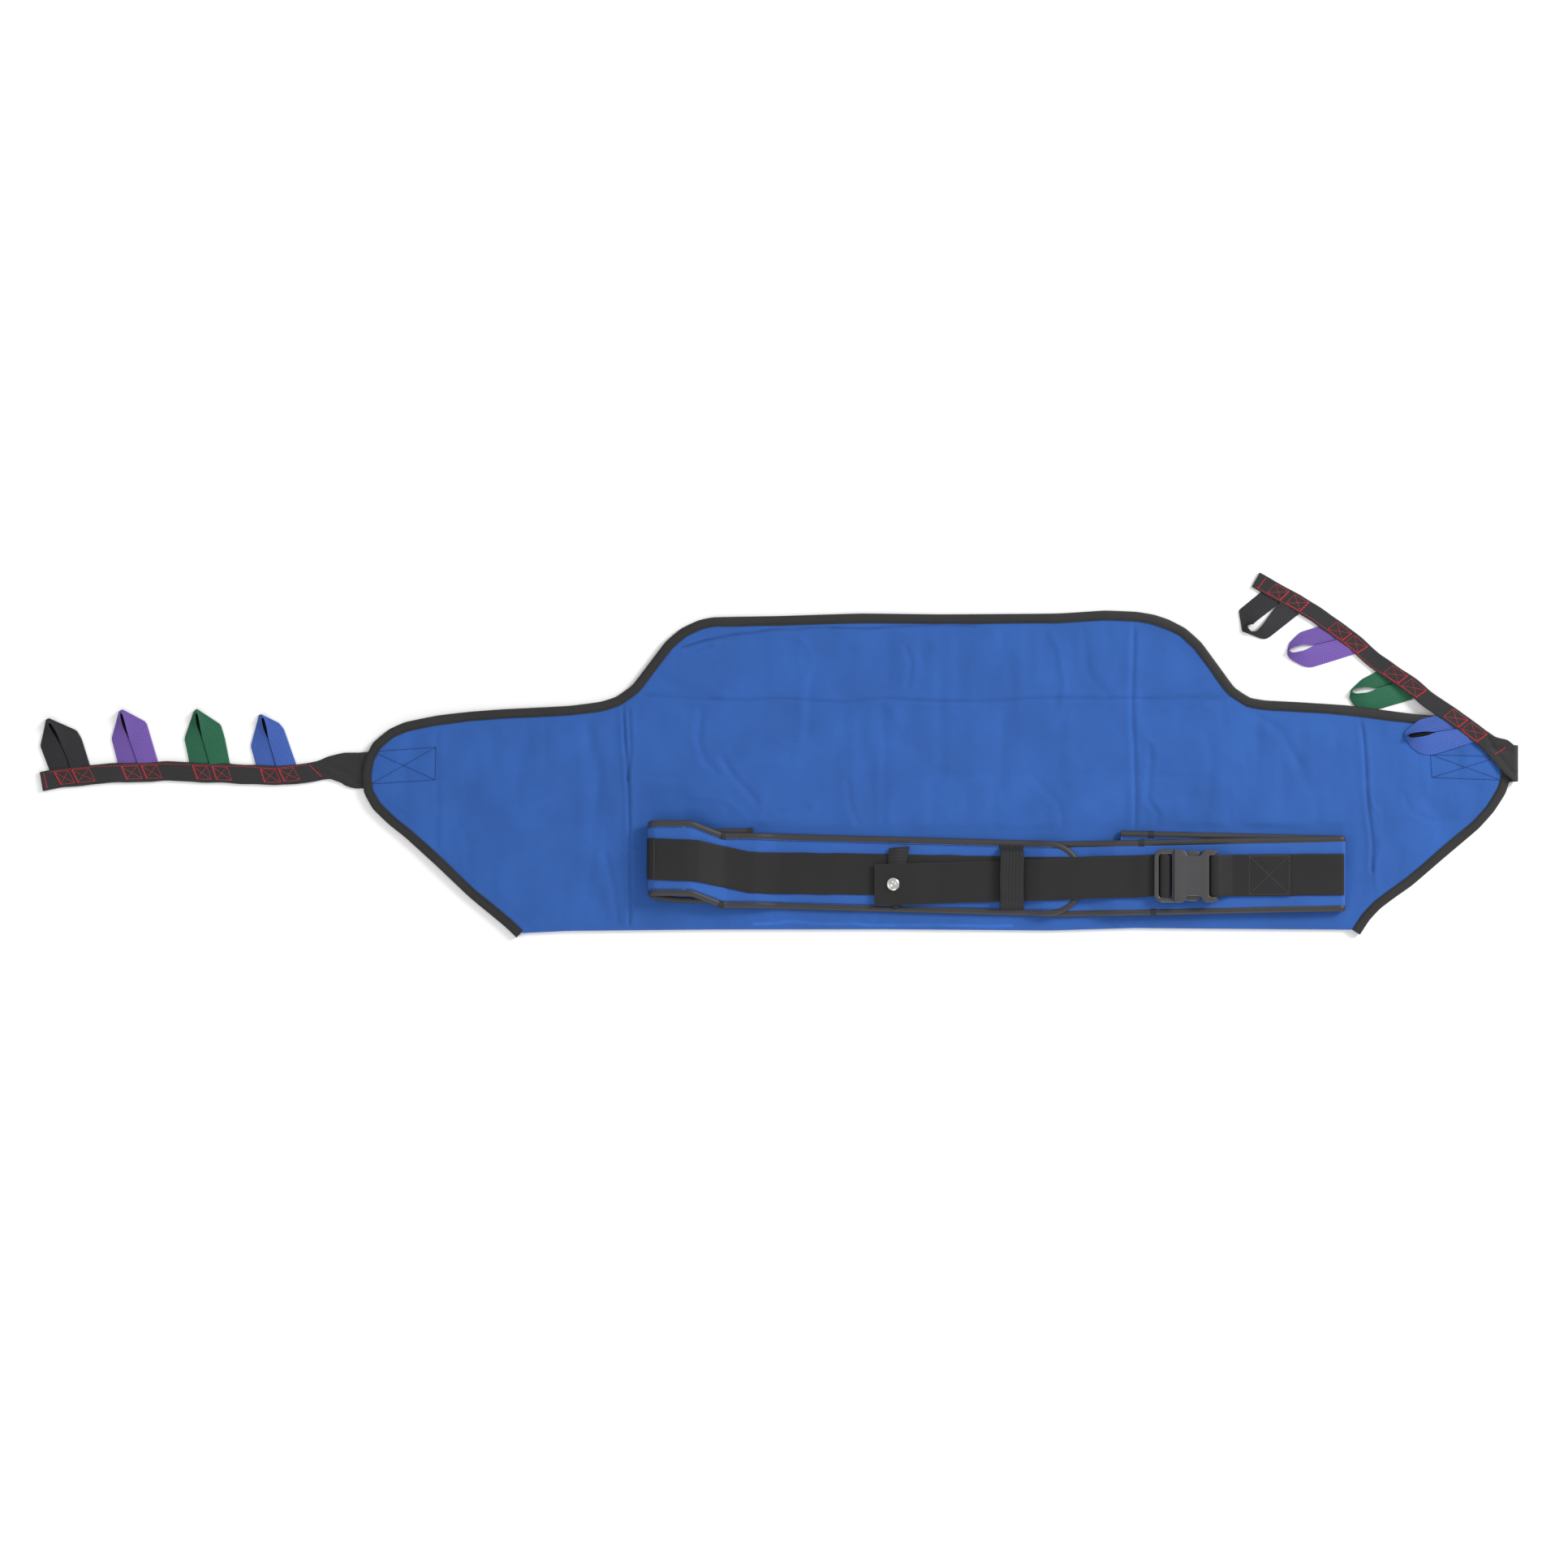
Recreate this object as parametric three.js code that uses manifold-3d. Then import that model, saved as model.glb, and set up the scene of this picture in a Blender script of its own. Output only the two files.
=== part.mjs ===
// Stand-assist transfer sling laid out flat: a wide padded body with two tapering wings, a padded belt with a
// side-release buckle across it, and a lifting strap with four coloured hook loops on each wing tip.
// Millimetres. +X runs along the sling, +Y towards its upper edge, +Z up from the surface it lies on.
// The origin is on the underside, in the middle of the back panel.

import * as THREE from "three";
import { mergeVertices } from "three/addons/utils/BufferGeometryUtils.js";
import Module from "manifold-3d";

const wasm = await Module();
wasm.setup();

// ---------------------------------------------------------------- driving dimensions

const GAP = 0.3; // clearance between touching pieces

// Body outline. It is the same on both sides of X = 0.
const BODY_TOP = 191;
const BODY_BOTTOM = -190;
const SHOULDER = new THREE.Vector2(250, BODY_TOP); // where the straight upper edge ends
const SHOULDER_TURN = new THREE.Vector2(343, 129); // middle of the S-shaped shoulder
const WING_ROOT = new THREE.Vector2(402, 86); // where the shoulder meets the wing's upper edge
const WING_BEND = new THREE.Vector2(600, 68.5); // where the wing starts to round off to its tip
const TIP_X = 692;
const TIP_TOP = 22;
const TIP_BOTTOM = -30;
const LOWER_CORNER = new THREE.Vector2(506, -194);
const CORNER_END = new THREE.Vector2(494, BODY_BOTTOM);

const LEFT_FOLD_X = -372.4; // fold line between the back panel and the left wing
const RIGHT_FOLD_X = 529.2; // fold line between the back panel and the right wing

// Layers of the body, from the underside up.
const CLOTH = 0.8;
const FOAM = 4;
const FOAM_LOW = CLOTH + GAP;
const FRONT_CLOTH_LOW = FOAM_LOW + FOAM + GAP;
const CLOTH_TOP = FRONT_CLOTH_LOW + CLOTH;
const BINDING_WALL = 0.7;
const BINDING_WIDTH = 12;
const BINDING_TOP = CLOTH_TOP + GAP + BINDING_WALL;

// Webbing.
const WEBBING_WIDTH = 50;
const KEEPER_WIDTH = 28.4;
const KEEPER = 1.6; // thickness of the keeper's webbing
const WEBBING = 1.4; // thickness of the belt webbing
const STRAP = 3.2; // thickness of the lifting strap, folded double along its length

// Belt. Two padded halves lie over their own sewn-on ends, so the heights come in whole layers.
const BELT_PANEL = 4;
const BELT_HALF_WIDTH = 40.5;
const PIPING_RADIUS = 2.5;
const PIPING_OFFSET = BELT_HALF_WIDTH + GAP + PIPING_RADIUS;
const LAYER_1 = CLOTH_TOP + GAP + PIPING_RADIUS;
const LAYER_2 = LAYER_1 + 2 * PIPING_RADIUS + GAP;
const BAND_RISE = BELT_PANEL / 2 + GAP + WEBBING / 2; // webbing laid on a panel, above the panel's middle
const PLY = WEBBING + GAP; // one more ply of webbing
const BELT_CENTRE_Y = -125; // the buckle's middle

// Buckle.
const BUCKLE_HALF_WIDTH = 32.35;
const BUCKLE_BACK = 264.2; // outer bar of the male half
const MOUTH_X = 288; // mouth edge of the female half
const BUCKLE_FRONT = 341; // bar end of the female half
const BUCKLE_MID = LAYER_2 + 10;
const FRAME_HALF_HEIGHT = 2.15;
const SHELL_HALF_HEIGHT = 6.4;
const CAVITY_HALF_WIDTH = 28;
const CAVITY_HALF_HEIGHT = 4.1;
const WEBBING_SLOT = WEBBING_WIDTH / 2 + 0.8; // half the length of a slot that the webbing runs through
const PRONG_ROOT_X = 291.5;
const PRONG_INNER_Y = 17.5;

// Hook loops: a wedge of 25 mm webbing with a slot, lying beside its strap.
const LOOP_THICKNESS = 3;
const LOOP_SLOT = 7.6;
const LOOP_EDGE_GAP = 1;
const FLOOR_GAP = 0.2; // a loop's clearance over the surface that the sling lies on

// ---------------------------------------------------------------- materials

const fabric = (color, roughness = 0.9) =>
  new THREE.MeshStandardMaterial({ color, roughness, metalness: 0 });
const BLUE_CLOTH = fabric(0x23479b);
const BLUE_WEBBING = fabric(0x2b55b5);
const BLACK_TAPE = fabric(0x17181c);
const BLACK_WEBBING = fabric(0x1b1c20);
const GREY_PIPING = fabric(0x2d2e33);
const WHITE_FOAM = fabric(0xe8e6df, 1);
const PURPLE_WEBBING = fabric(0x5a3590);
const GREEN_WEBBING = fabric(0x1d8a50);
const BLACK_PLASTIC = new THREE.MeshStandardMaterial({ color: 0x141416, roughness: 0.4, metalness: 0 });
const CHROME = new THREE.MeshStandardMaterial({ color: 0xc8c9cc, roughness: 0.2, metalness: 1 });

// ---------------------------------------------------------------- solids

const v2 = (x, y) => new THREE.Vector2(x, y);
const v3 = (x, y, z) => new THREE.Vector3(x, y, z);

function signedVolume(geometry) {
  const position = geometry.getAttribute("position");
  const [a, b, c] = [v3(0, 0, 0), v3(0, 0, 0), v3(0, 0, 0)];
  let volume = 0;
  for (let i = 0; i < geometry.index.count; i += 3) {
    a.fromBufferAttribute(position, geometry.index.getX(i));
    b.fromBufferAttribute(position, geometry.index.getX(i + 1));
    c.fromBufferAttribute(position, geometry.index.getX(i + 2));
    volume += a.dot(b.cross(c)) / 6;
  }
  return volume;
}

// A closed solid through copies of one profile. Each frame places the profile by a point and two vectors.
function loft(profile, frames) {
  const points = frames.flatMap(({ at, u, v }) =>
    profile.map((p) => at.clone().addScaledVector(u, p.x).addScaledVector(v, p.y)));
  const count = profile.length;
  const last = (frames.length - 1) * count;
  const index = [];
  for (let start = 0; start < last; start += count) {
    for (let i = 0; i < count; i++) {
      const a = start + i;
      const b = start + ((i + 1) % count);
      index.push(a, b, b + count, a, b + count, a + count);
    }
  }
  for (const [a, b, c] of THREE.ShapeUtils.triangulateShape(profile, [])) {
    index.push(a, c, b, last + a, last + b, last + c);
  }
  const geometry = new THREE.BufferGeometry().setFromPoints(points);
  geometry.setIndex(index);
  if (signedVolume(geometry) < 0) {
    geometry.setIndex(index.map((_, i) => index[i - (i % 3) + (2 - (i % 3))]));
  }
  return geometry;
}

const SQUARE = [v2(-1, -1), v2(1, -1), v2(1, 1), v2(-1, 1)];
const ROUND = Array.from({ length: 8 }, (_, i) =>
  v2(Math.cos((i * Math.PI) / 4), Math.sin((i * Math.PI) / 4)));

// A curve through the points, kept tight so that it doesn't swing past them.
const TENSION = 0.2;
const curveOf = (points) => new THREE.CatmullRomCurve3(points, false, "catmullrom", TENSION);

const levelSide = (along) => v3(-along.y, along.x, 0).normalize();
const ySide = () => v3(0, 1, 0);
const xSide = () => v3(1, 0, 0);

// Frames along a curve through the points. The side vector is level and square to it unless one is given.
function framesAlong(points, steps, { side, halfWidth, halfHeight, offset = 0 }) {
  const curve = curveOf(points);
  const frames = [];
  for (let i = 0; i <= steps; i++) {
    const t = i / steps;
    const along = curve.getTangentAt(t);
    const across = (side ? side(t, along) : levelSide(along)).normalize();
    const up = along.clone().cross(across).normalize();
    const half = typeof halfWidth === "function" ? halfWidth(t) : halfWidth;
    const height = typeof halfHeight === "function" ? halfHeight(t) : halfHeight;
    const shift = typeof offset === "function" ? offset(t) : offset;
    frames.push({
      at: curve.getPointAt(t).addScaledVector(across, shift),
      u: across.clone().multiplyScalar(half),
      v: up.multiplyScalar(height),
    });
  }
  return frames;
}

function strip(points, steps, width, thickness, side) {
  const frames = framesAlong(points, steps, {
    side,
    halfWidth: typeof width === "function" ? (t) => width(t) / 2 : width / 2,
    halfHeight: typeof thickness === "function" ? (t) => thickness(t) / 2 : thickness / 2,
  });
  return loft(SQUARE, frames);
}

function plate(outline, low, high, holes = []) {
  const shape = new THREE.Shape(outline);
  shape.holes.push(...holes.map((hole) => new THREE.Path(hole)));
  const geometry = new THREE.ExtrudeGeometry(shape, { depth: high - low, bevelEnabled: false });
  geometry.translate(0, 0, low);
  return geometry;
}

function box(low, high) {
  const geometry = new THREE.BoxGeometry(high[0] - low[0], high[1] - low[1], high[2] - low[2]);
  geometry.translate((low[0] + high[0]) / 2, (low[1] + high[1]) / 2, (low[2] + high[2]) / 2);
  return geometry;
}

function solid(geometry) {
  const bare = geometry.clone();
  bare.deleteAttribute("normal");
  bare.deleteAttribute("uv");
  const merged = mergeVertices(bare, 1e-4);
  return new wasm.Manifold(new wasm.Mesh({
    numProp: 3,
    vertProperties: new Float32Array(merged.getAttribute("position").array),
    triVerts: new Uint32Array(merged.index.array),
  }));
}

function shell(manifold) {
  const mesh = manifold.getMesh();
  const geometry = new THREE.BufferGeometry();
  geometry.setAttribute("position", new THREE.BufferAttribute(new Float32Array(mesh.vertProperties), 3));
  geometry.setIndex([...mesh.triVerts]);
  return geometry;
}

const cut = (geometry, ...tools) =>
  shell(tools.reduce((left, tool) => left.subtract(solid(tool)), solid(geometry)));

const root = new THREE.Group();

function add(name, geometry, material) {
  const mesh = new THREE.Mesh(geometry, material);
  mesh.name = name;
  root.add(mesh);
}

// ---------------------------------------------------------------- body: cloth, foam, binding

// Right half of the outline, from the middle of the upper edge round the wing to the lower corner.
function rightEdge() {
  const path = new THREE.Path();
  path.moveTo(0, BODY_TOP);
  path.lineTo(SHOULDER.x, SHOULDER.y);
  path.quadraticCurveTo(SHOULDER.x + 65, BODY_TOP - 4, SHOULDER_TURN.x, SHOULDER_TURN.y);
  path.quadraticCurveTo(SHOULDER_TURN.x + 21, WING_ROOT.y, WING_ROOT.x, WING_ROOT.y);
  path.lineTo(WING_BEND.x, WING_BEND.y);
  path.quadraticCurveTo(TIP_X - 27, WING_BEND.y - 5.5, TIP_X, TIP_TOP);
  path.lineTo(TIP_X, TIP_BOTTOM);
  path.lineTo(LOWER_CORNER.x, LOWER_CORNER.y);
  return path.getPoints(7);
}

const mirrored = (points) => points.map((p) => v2(-p.x, p.y)).reverse();

// The bound edge: from the right lower corner, over the top, to the left lower corner (anticlockwise).
function boundEdge() {
  const right = rightEdge().reverse();
  return [...right, ...mirrored(right).slice(1)];
}

function bodyOutline() {
  return [...boundEdge(), v2(-CORNER_END.x, CORNER_END.y), CORNER_END.clone()];
}

// Mitre vector of each point of an open anticlockwise line: one unit inwards from both edges that meet there.
function inwardMitres(points) {
  const normal = (from, to) => to.clone().sub(from).normalize().rotateAround(v2(0, 0), Math.PI / 2);
  return points.map((point, i) => {
    const before = points[i - 1];
    const after = points[i + 1];
    const first = before ? normal(before, point) : normal(point, after);
    const second = after ? normal(point, after) : first;
    const middle = first.clone().add(second).normalize();
    return middle.divideScalar(middle.dot(first));
  });
}

// Sweeps a profile along the bound edge: x inwards from the edge, y up. The reach lengthens both ends.
function sweepEdge(profile, reach = 0) {
  const edge = boundEdge();
  const mitres = inwardMitres(edge);
  const lengthen = (end, next) => end.add(end.clone().sub(next).setLength(reach));
  if (reach > 0) {
    lengthen(edge[0], edge[1]);
    lengthen(edge[edge.length - 1], edge[edge.length - 2]);
  }
  const frames = edge.map((point, i) => ({
    at: v3(point.x, point.y, 0),
    u: v3(mitres[i].x, mitres[i].y, 0),
    v: v3(0, 0, 1),
  }));
  return loft(profile, frames);
}

// A tool that takes a margin off the bound edge, between two heights.
const edgeMargin = (width, low, high) =>
  sweepEdge([v2(-3, low), v2(width, low), v2(width, high), v2(-3, high)], GAP);

// The stretch of a solid between two planes across X, with half the gap left at each.
function between(geometry, lowX, highX) {
  const region = box([lowX + GAP / 2, -300, -10], [highX - GAP / 2, 300, 50]);
  return solid(geometry).intersect(solid(region));
}

// One blue cloth, folded round the foam along the lower edge: the front sheet, the fold and the back sheet.
function clothLayer() {
  const outline = bodyOutline();
  const front = cut(plate(outline, FRONT_CLOTH_LOW, CLOTH_TOP), edgeMargin(BINDING_WALL + GAP, 5, 7));
  const back = cut(plate(outline, 0, CLOTH), edgeMargin(BINDING_WIDTH + GAP, -1, 2));
  const foldEnd = CORNER_END.x - 6;
  const fold = box([-foldEnd, BODY_BOTTOM, 0], [foldEnd, BODY_BOTTOM + CLOTH, CLOTH_TOP]);
  return shell(solid(front).add(solid(back)).add(solid(fold)));
}

function foamLayer() {
  const sheet = plate(bodyOutline(), FOAM_LOW, FOAM_LOW + FOAM);
  const lowerEdge = box([-600, -300, 0], [600, BODY_BOTTOM + CLOTH + GAP, 10]);
  const margin = 8; // left round the anchor
  const anchorMiddle = (ANCHOR_INNER_X + ANCHOR_OUTER_X) / 2 - margin;
  const anchorRoom = (side) => box([side * anchorMiddle - 45, ANCHOR_LOW_Y - margin, 0],
    [side * anchorMiddle + 45, ANCHOR_HIGH_Y + margin, 10]);
  return cut(sheet, edgeMargin(BINDING_WIDTH + 1, 0, 10), lowerEdge, anchorRoom(1), anchorRoom(-1));
}

// Binding tape: a channel that wraps the edge, swept along it.
function bindingLayer() {
  const channel = [
    v2(0, 0),
    v2(BINDING_WIDTH, 0),
    v2(BINDING_WIDTH, BINDING_WALL),
    v2(BINDING_WALL, BINDING_WALL),
    v2(BINDING_WALL, BINDING_TOP - BINDING_WALL),
    v2(BINDING_WIDTH, BINDING_TOP - BINDING_WALL),
    v2(BINDING_WIDTH, BINDING_TOP),
    v2(0, BINDING_TOP),
  ];
  const strapSlot = (side) => box([side * TIP_X - 8, ANCHOR_LOW_Y - GAP, ANCHOR_MID - 1.1],
    [side * TIP_X + 8, ANCHOR_HIGH_Y + GAP, ANCHOR_MID + 1.1]);
  return cut(sweepEdge(channel), strapSlot(1), strapSlot(-1));
}

// Strap end sewn between the cloths at each wing tip.
const ANCHOR_LOW_Y = -16;
const ANCHOR_HIGH_Y = 21;
const ANCHOR_MID = 3.1;
const ANCHOR = 1.6; // thickness
const ANCHOR_INNER_X = 600;
const ANCHOR_OUTER_X = 693;

function addAnchor(name, side) {
  const ends = [side * ANCHOR_INNER_X, side * ANCHOR_OUTER_X].sort((a, b) => a - b);
  const low = [ends[0], ANCHOR_LOW_Y, ANCHOR_MID - ANCHOR / 2];
  const high = [ends[1], ANCHOR_HIGH_Y, ANCHOR_MID + ANCHOR / 2];
  add(name, box(low, high), BLACK_WEBBING);
}

// A region's share of each layer. The lower fold joins the two sheets of cloth, except in the right wing,
// which has none; the back panel's share of the binding is its upper edge and a short end at the lower corner.
const REGIONS = [
  {
    low: -800,
    high: LEFT_FOLD_X,
    cloth: ["left_wing_cloth"],
    foam: ["left_wing_foam"],
    binding: ["left_wing_binding"],
  },
  {
    low: LEFT_FOLD_X,
    high: RIGHT_FOLD_X,
    cloth: ["back_panel_cloth"],
    foam: ["back_panel_foam"],
    binding: ["back_panel_binding", "lower_corner_binding"],
  },
  {
    low: RIGHT_FOLD_X,
    high: 800,
    cloth: ["right_wing_front_cloth", "right_wing_back_cloth"],
    foam: ["right_wing_foam"],
    binding: ["right_wing_binding"],
  },
];

function addBody() {
  const layers = [
    ["cloth", clothLayer(), BLUE_CLOTH],
    ["foam", foamLayer(), WHITE_FOAM],
    ["binding", bindingLayer(), BLACK_TAPE],
  ];
  for (const region of REGIONS) {
    for (const [layer, geometry, material] of layers) {
      const pieces = between(geometry, region.low, region.high).decompose();
      pieces.sort((a, b) => b.volume() - a.volume());
      pieces.forEach((piece, i) => add(region[layer][i], shell(piece), material));
    }
  }
  addAnchor("left_strap_anchor", -1);
  addAnchor("right_strap_anchor", 1);
}

// ---------------------------------------------------------------- belt

// Centre line of the left half: up round the fold at its sewn end, down onto the body, over the right half.
const LEFT_HALF = [
  v3(-333, -106, LAYER_1),
  v3(-339, -105, LAYER_1 + 2.5),
  v3(-341.5, -105, LAYER_1 + 8.5),
  v3(-339, -105, LAYER_1 + 14.5),
  v3(-333, -105, LAYER_1 + 17),
  v3(-290, -105, LAYER_1 + 17.5),
  v3(-270, -107, LAYER_1 + 16),
  v3(-236, -113, LAYER_2 + 1),
  v3(-214, -117, LAYER_2),
  v3(-190, -119.5, LAYER_1),
  v3(-150, -121, LAYER_1),
  v3(0, -125, LAYER_1),
  v3(108, -128, LAYER_1),
  v3(134, -128.5, LAYER_2),
  v3(168, -129, LAYER_2),
];
const RIGHT_HALF = [
  v3(137, -129.7, LAYER_1),
  v3(160, -129.4, LAYER_1),
  v3(188, -128.8, LAYER_1),
  v3(218, -128, LAYER_2),
  v3(250, -127.4, LAYER_2),
  v3(490.4, -122.5, LAYER_2),
];
const LEFT_ROOT = [v3(-330.6, -113.7, LAYER_1), v3(-217.6, -113.7, LAYER_1)];
const RIGHT_ROOT = [v3(225.4, -116.3, LAYER_1), v3(490.4, -122.5, LAYER_1)];

// The left half's free end narrows, with the piping turning in round its corners.
const ROUNDED_FROM = 0.955;
const leftEnd = (t) => Math.max(0, (t - ROUNDED_FROM) / (1 - ROUNDED_FROM)) ** 2 * 13;

function addBeltPart(name, line, steps, taper = () => 0) {
  const panel = framesAlong(line, steps, {
    side: ySide,
    halfWidth: (t) => BELT_HALF_WIDTH - taper(t),
    halfHeight: BELT_PANEL / 2,
  });
  add(name, loft(SQUARE, panel), BLUE_CLOTH);
  for (const [edge, sign] of [["upper", 1], ["lower", -1]]) {
    const piping = framesAlong(line, steps, {
      side: ySide,
      halfWidth: PIPING_RADIUS,
      halfHeight: PIPING_RADIUS,
      offset: (t) => sign * (PIPING_OFFSET - taper(t)),
    });
    add(`${name}_piping_${edge}`, loft(ROUND, piping), GREY_PIPING);
  }
}

const onPanel = ([x, y, layer]) => v3(x, y, layer + BAND_RISE);

function addBeltWebbing() {
  const leftBand = [
    [-288, -107, LAYER_1 + 17.8],
    [-270, -109, LAYER_1 + 16.6],
    [-236, -115, LAYER_2 + 1.6],
    [-210, -118, LAYER_2 + 0.6],
    [-184, -120.5, LAYER_1],
    [-150, -122, LAYER_1],
    [0, -125, LAYER_1],
    [104, -127, LAYER_1],
    [131, -127.5, LAYER_2],
    [180, -127, LAYER_2],
    [262, BELT_CENTRE_Y, LAYER_2],
  ].map(onPanel);
  add("belt_left_band", strip(leftBand, 56, WEBBING_WIDTH, WEBBING, ySide), BLACK_WEBBING);

  // The right band runs from the fold, under the female half's bar, over it, and back to its own stitching.
  const low = LAYER_2 + BAND_RISE;
  const line = [
    [490.4, low],
    [430, low],
    [352, low],
    [340, BUCKLE_MID - 4.5],
    [334.2, BUCKLE_MID - 4.4],
    [331.2, BUCKLE_MID - 2.8],
    [331, BUCKLE_MID],
    [331.4, BUCKLE_MID + 2.6],
    [334.5, BUCKLE_MID + 4.6],
    [341.5, BUCKLE_MID + 4.6],
    [349, BUCKLE_MID + 0.3],
    [356, low + PLY + 1],
    [362, low + PLY],
    [430, low + PLY],
  ].map(([x, z]) => v3(x, BELT_CENTRE_Y + (x - 341) * 0.012, z));
  add("belt_right_band", strip(line, 64, WEBBING_WIDTH, WEBBING, ySide), BLACK_WEBBING);
}

// Cloth that carries the right half round from its sewn-on layer to its upper layer.
function addRightFold() {
  const line = [-90, -45, 0, 45, 90].map((degrees) => {
    const angle = THREE.MathUtils.degToRad(degrees);
    const radius = (LAYER_2 - LAYER_1) / 2;
    return v3(490.9 + radius * Math.cos(angle), -122.5, LAYER_1 + radius + radius * Math.sin(angle));
  });
  add("belt_right_fold", strip(line, 12, 2 * BELT_HALF_WIDTH, 1.2, ySide), BLUE_CLOTH);
}

// Loop of narrow webbing that holds the free end of the belt webbing down.
function addKeeper() {
  const x = 93.7;
  const y = -127.6;
  const high = LAYER_2 + 6.6;
  const line = [
    [PIPING_OFFSET + 1.5, LAYER_1 + PIPING_RADIUS + 1.3],
    [PIPING_OFFSET - 5, LAYER_1 + PIPING_RADIUS + 3],
    [PIPING_OFFSET - 11, high - 1.4],
    [26, high],
    [0, high + 0.3],
  ];
  const points = [...line, ...line.slice(0, -1).reverse().map(([offset, z]) => [-offset, z])];
  const loop = points.map(([offset, z]) => v3(x, y + offset, z));
  add("belt_keeper", strip(loop, 28, KEEPER_WIDTH, KEEPER, xSide), BLACK_WEBBING);
}

// ---------------------------------------------------------------- buckle

function addFemaleBuckle() {
  const y = BELT_CENTRE_Y;
  const low = BUCKLE_MID - SHELL_HALF_HEIGHT;
  const high = BUCKLE_MID + SHELL_HALF_HEIGHT;
  const half = BUCKLE_HALF_WIDTH;
  const outline = [
    v2(MOUTH_X, -half + 2),
    v2(MOUTH_X + 3, -half + 0.6),
    v2(BUCKLE_FRONT - 8, -half),
    v2(BUCKLE_FRONT, -half + 3),
    v2(BUCKLE_FRONT, half - 3),
    v2(BUCKLE_FRONT - 8, half),
    v2(MOUTH_X + 3, half - 0.6),
    v2(MOUTH_X, half - 2),
  ].map((p) => v2(p.x, p.y + y));
  const cavity = box([MOUTH_X - 1, y - CAVITY_HALF_WIDTH, BUCKLE_MID - CAVITY_HALF_HEIGHT],
    [325, y + CAVITY_HALF_WIDTH, BUCKLE_MID + CAVITY_HALF_HEIGHT]);
  const window = (sign) => box([303, y + sign * 32 - 4.6, low - 1], [321.4, y + sign * 32 + 4.6, high + 1]);
  const slot = box([327.5, y - WEBBING_SLOT, low - 1], [334, y + WEBBING_SLOT, high + 1]);
  const barRoom = BUCKLE_FRONT + 1;
  const overBar = box([333, y - WEBBING_SLOT, BUCKLE_MID + 3], [barRoom, y + WEBBING_SLOT, high + 1]);
  const underBar = box([333, y - WEBBING_SLOT, low - 1], [barRoom, y + WEBBING_SLOT, BUCKLE_MID - 3]);
  add("buckle_female", cut(plate(outline, low, high), cavity, window(1), window(-1), slot, overBar, underBar),
    BLACK_PLASTIC);
}

// Male half: a frame with an outer bar, two webbing slots and a centre bar, and a guide tongue in the mouth.
function addMaleBuckle() {
  const y = BELT_CENTRE_Y;
  const low = BUCKLE_MID - FRAME_HALF_HEIGHT;
  const high = BUCKLE_MID + FRAME_HALF_HEIGHT;
  const frame = box([BUCKLE_BACK, y - BUCKLE_HALF_WIDTH, low], [287.6, y + BUCKLE_HALF_WIDTH, high]);
  const shoulder = box([286, y - 27, low], [291, y + 27, high]);
  const tongue = box([290, y - 7, low], [312, y + 7, high]);
  const backSlot = box([270, y - WEBBING_SLOT, low - 1], [273, y + WEBBING_SLOT, high + 1]);
  const frontSlot = box([282, y - WEBBING_SLOT, low - 1], [286.4, y + WEBBING_SLOT, high + 1]);
  const overBar = box([272, y - WEBBING_SLOT, BUCKLE_MID + 0.2], [283, y + WEBBING_SLOT, high + 1]);
  const whole = shell(solid(frame).add(solid(shoulder)).add(solid(tongue)));
  add("buckle_male", cut(whole, backSlot, frontSlot, overBar), BLACK_PLASTIC);
}

// Each prong springs inwards, so that its rounded head leaves the window in the female half's side.
function addProng(name, sign) {
  const shape = new THREE.Shape();
  shape.moveTo(PRONG_ROOT_X, PRONG_INNER_Y);
  shape.lineTo(321.3, 20);
  shape.quadraticCurveTo(321.4, 27.5, 317.5, 30.6);
  shape.quadraticCurveTo(310, 28, 303.6, 27.2);
  shape.lineTo(PRONG_ROOT_X, 24.5);
  const outline = shape.getPoints(6).map((p) => v2(p.x, BELT_CENTRE_Y + sign * p.y));
  add(name, plate(outline, BUCKLE_MID - FRAME_HALF_HEIGHT, BUCKLE_MID + FRAME_HALF_HEIGHT), BLACK_PLASTIC);
}

// ---------------------------------------------------------------- free end of the belt webbing

const TAIL_HINGE_X = 70.6;
const TAIL_END_X = -71.5;
const TAIL_LOW = LAYER_1 + BAND_RISE + PLY;
const TAIL_RAISED = TAIL_LOW + 2.35; // where the tag lies under it
const RIVET = v2(-49, -135.2);

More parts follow.
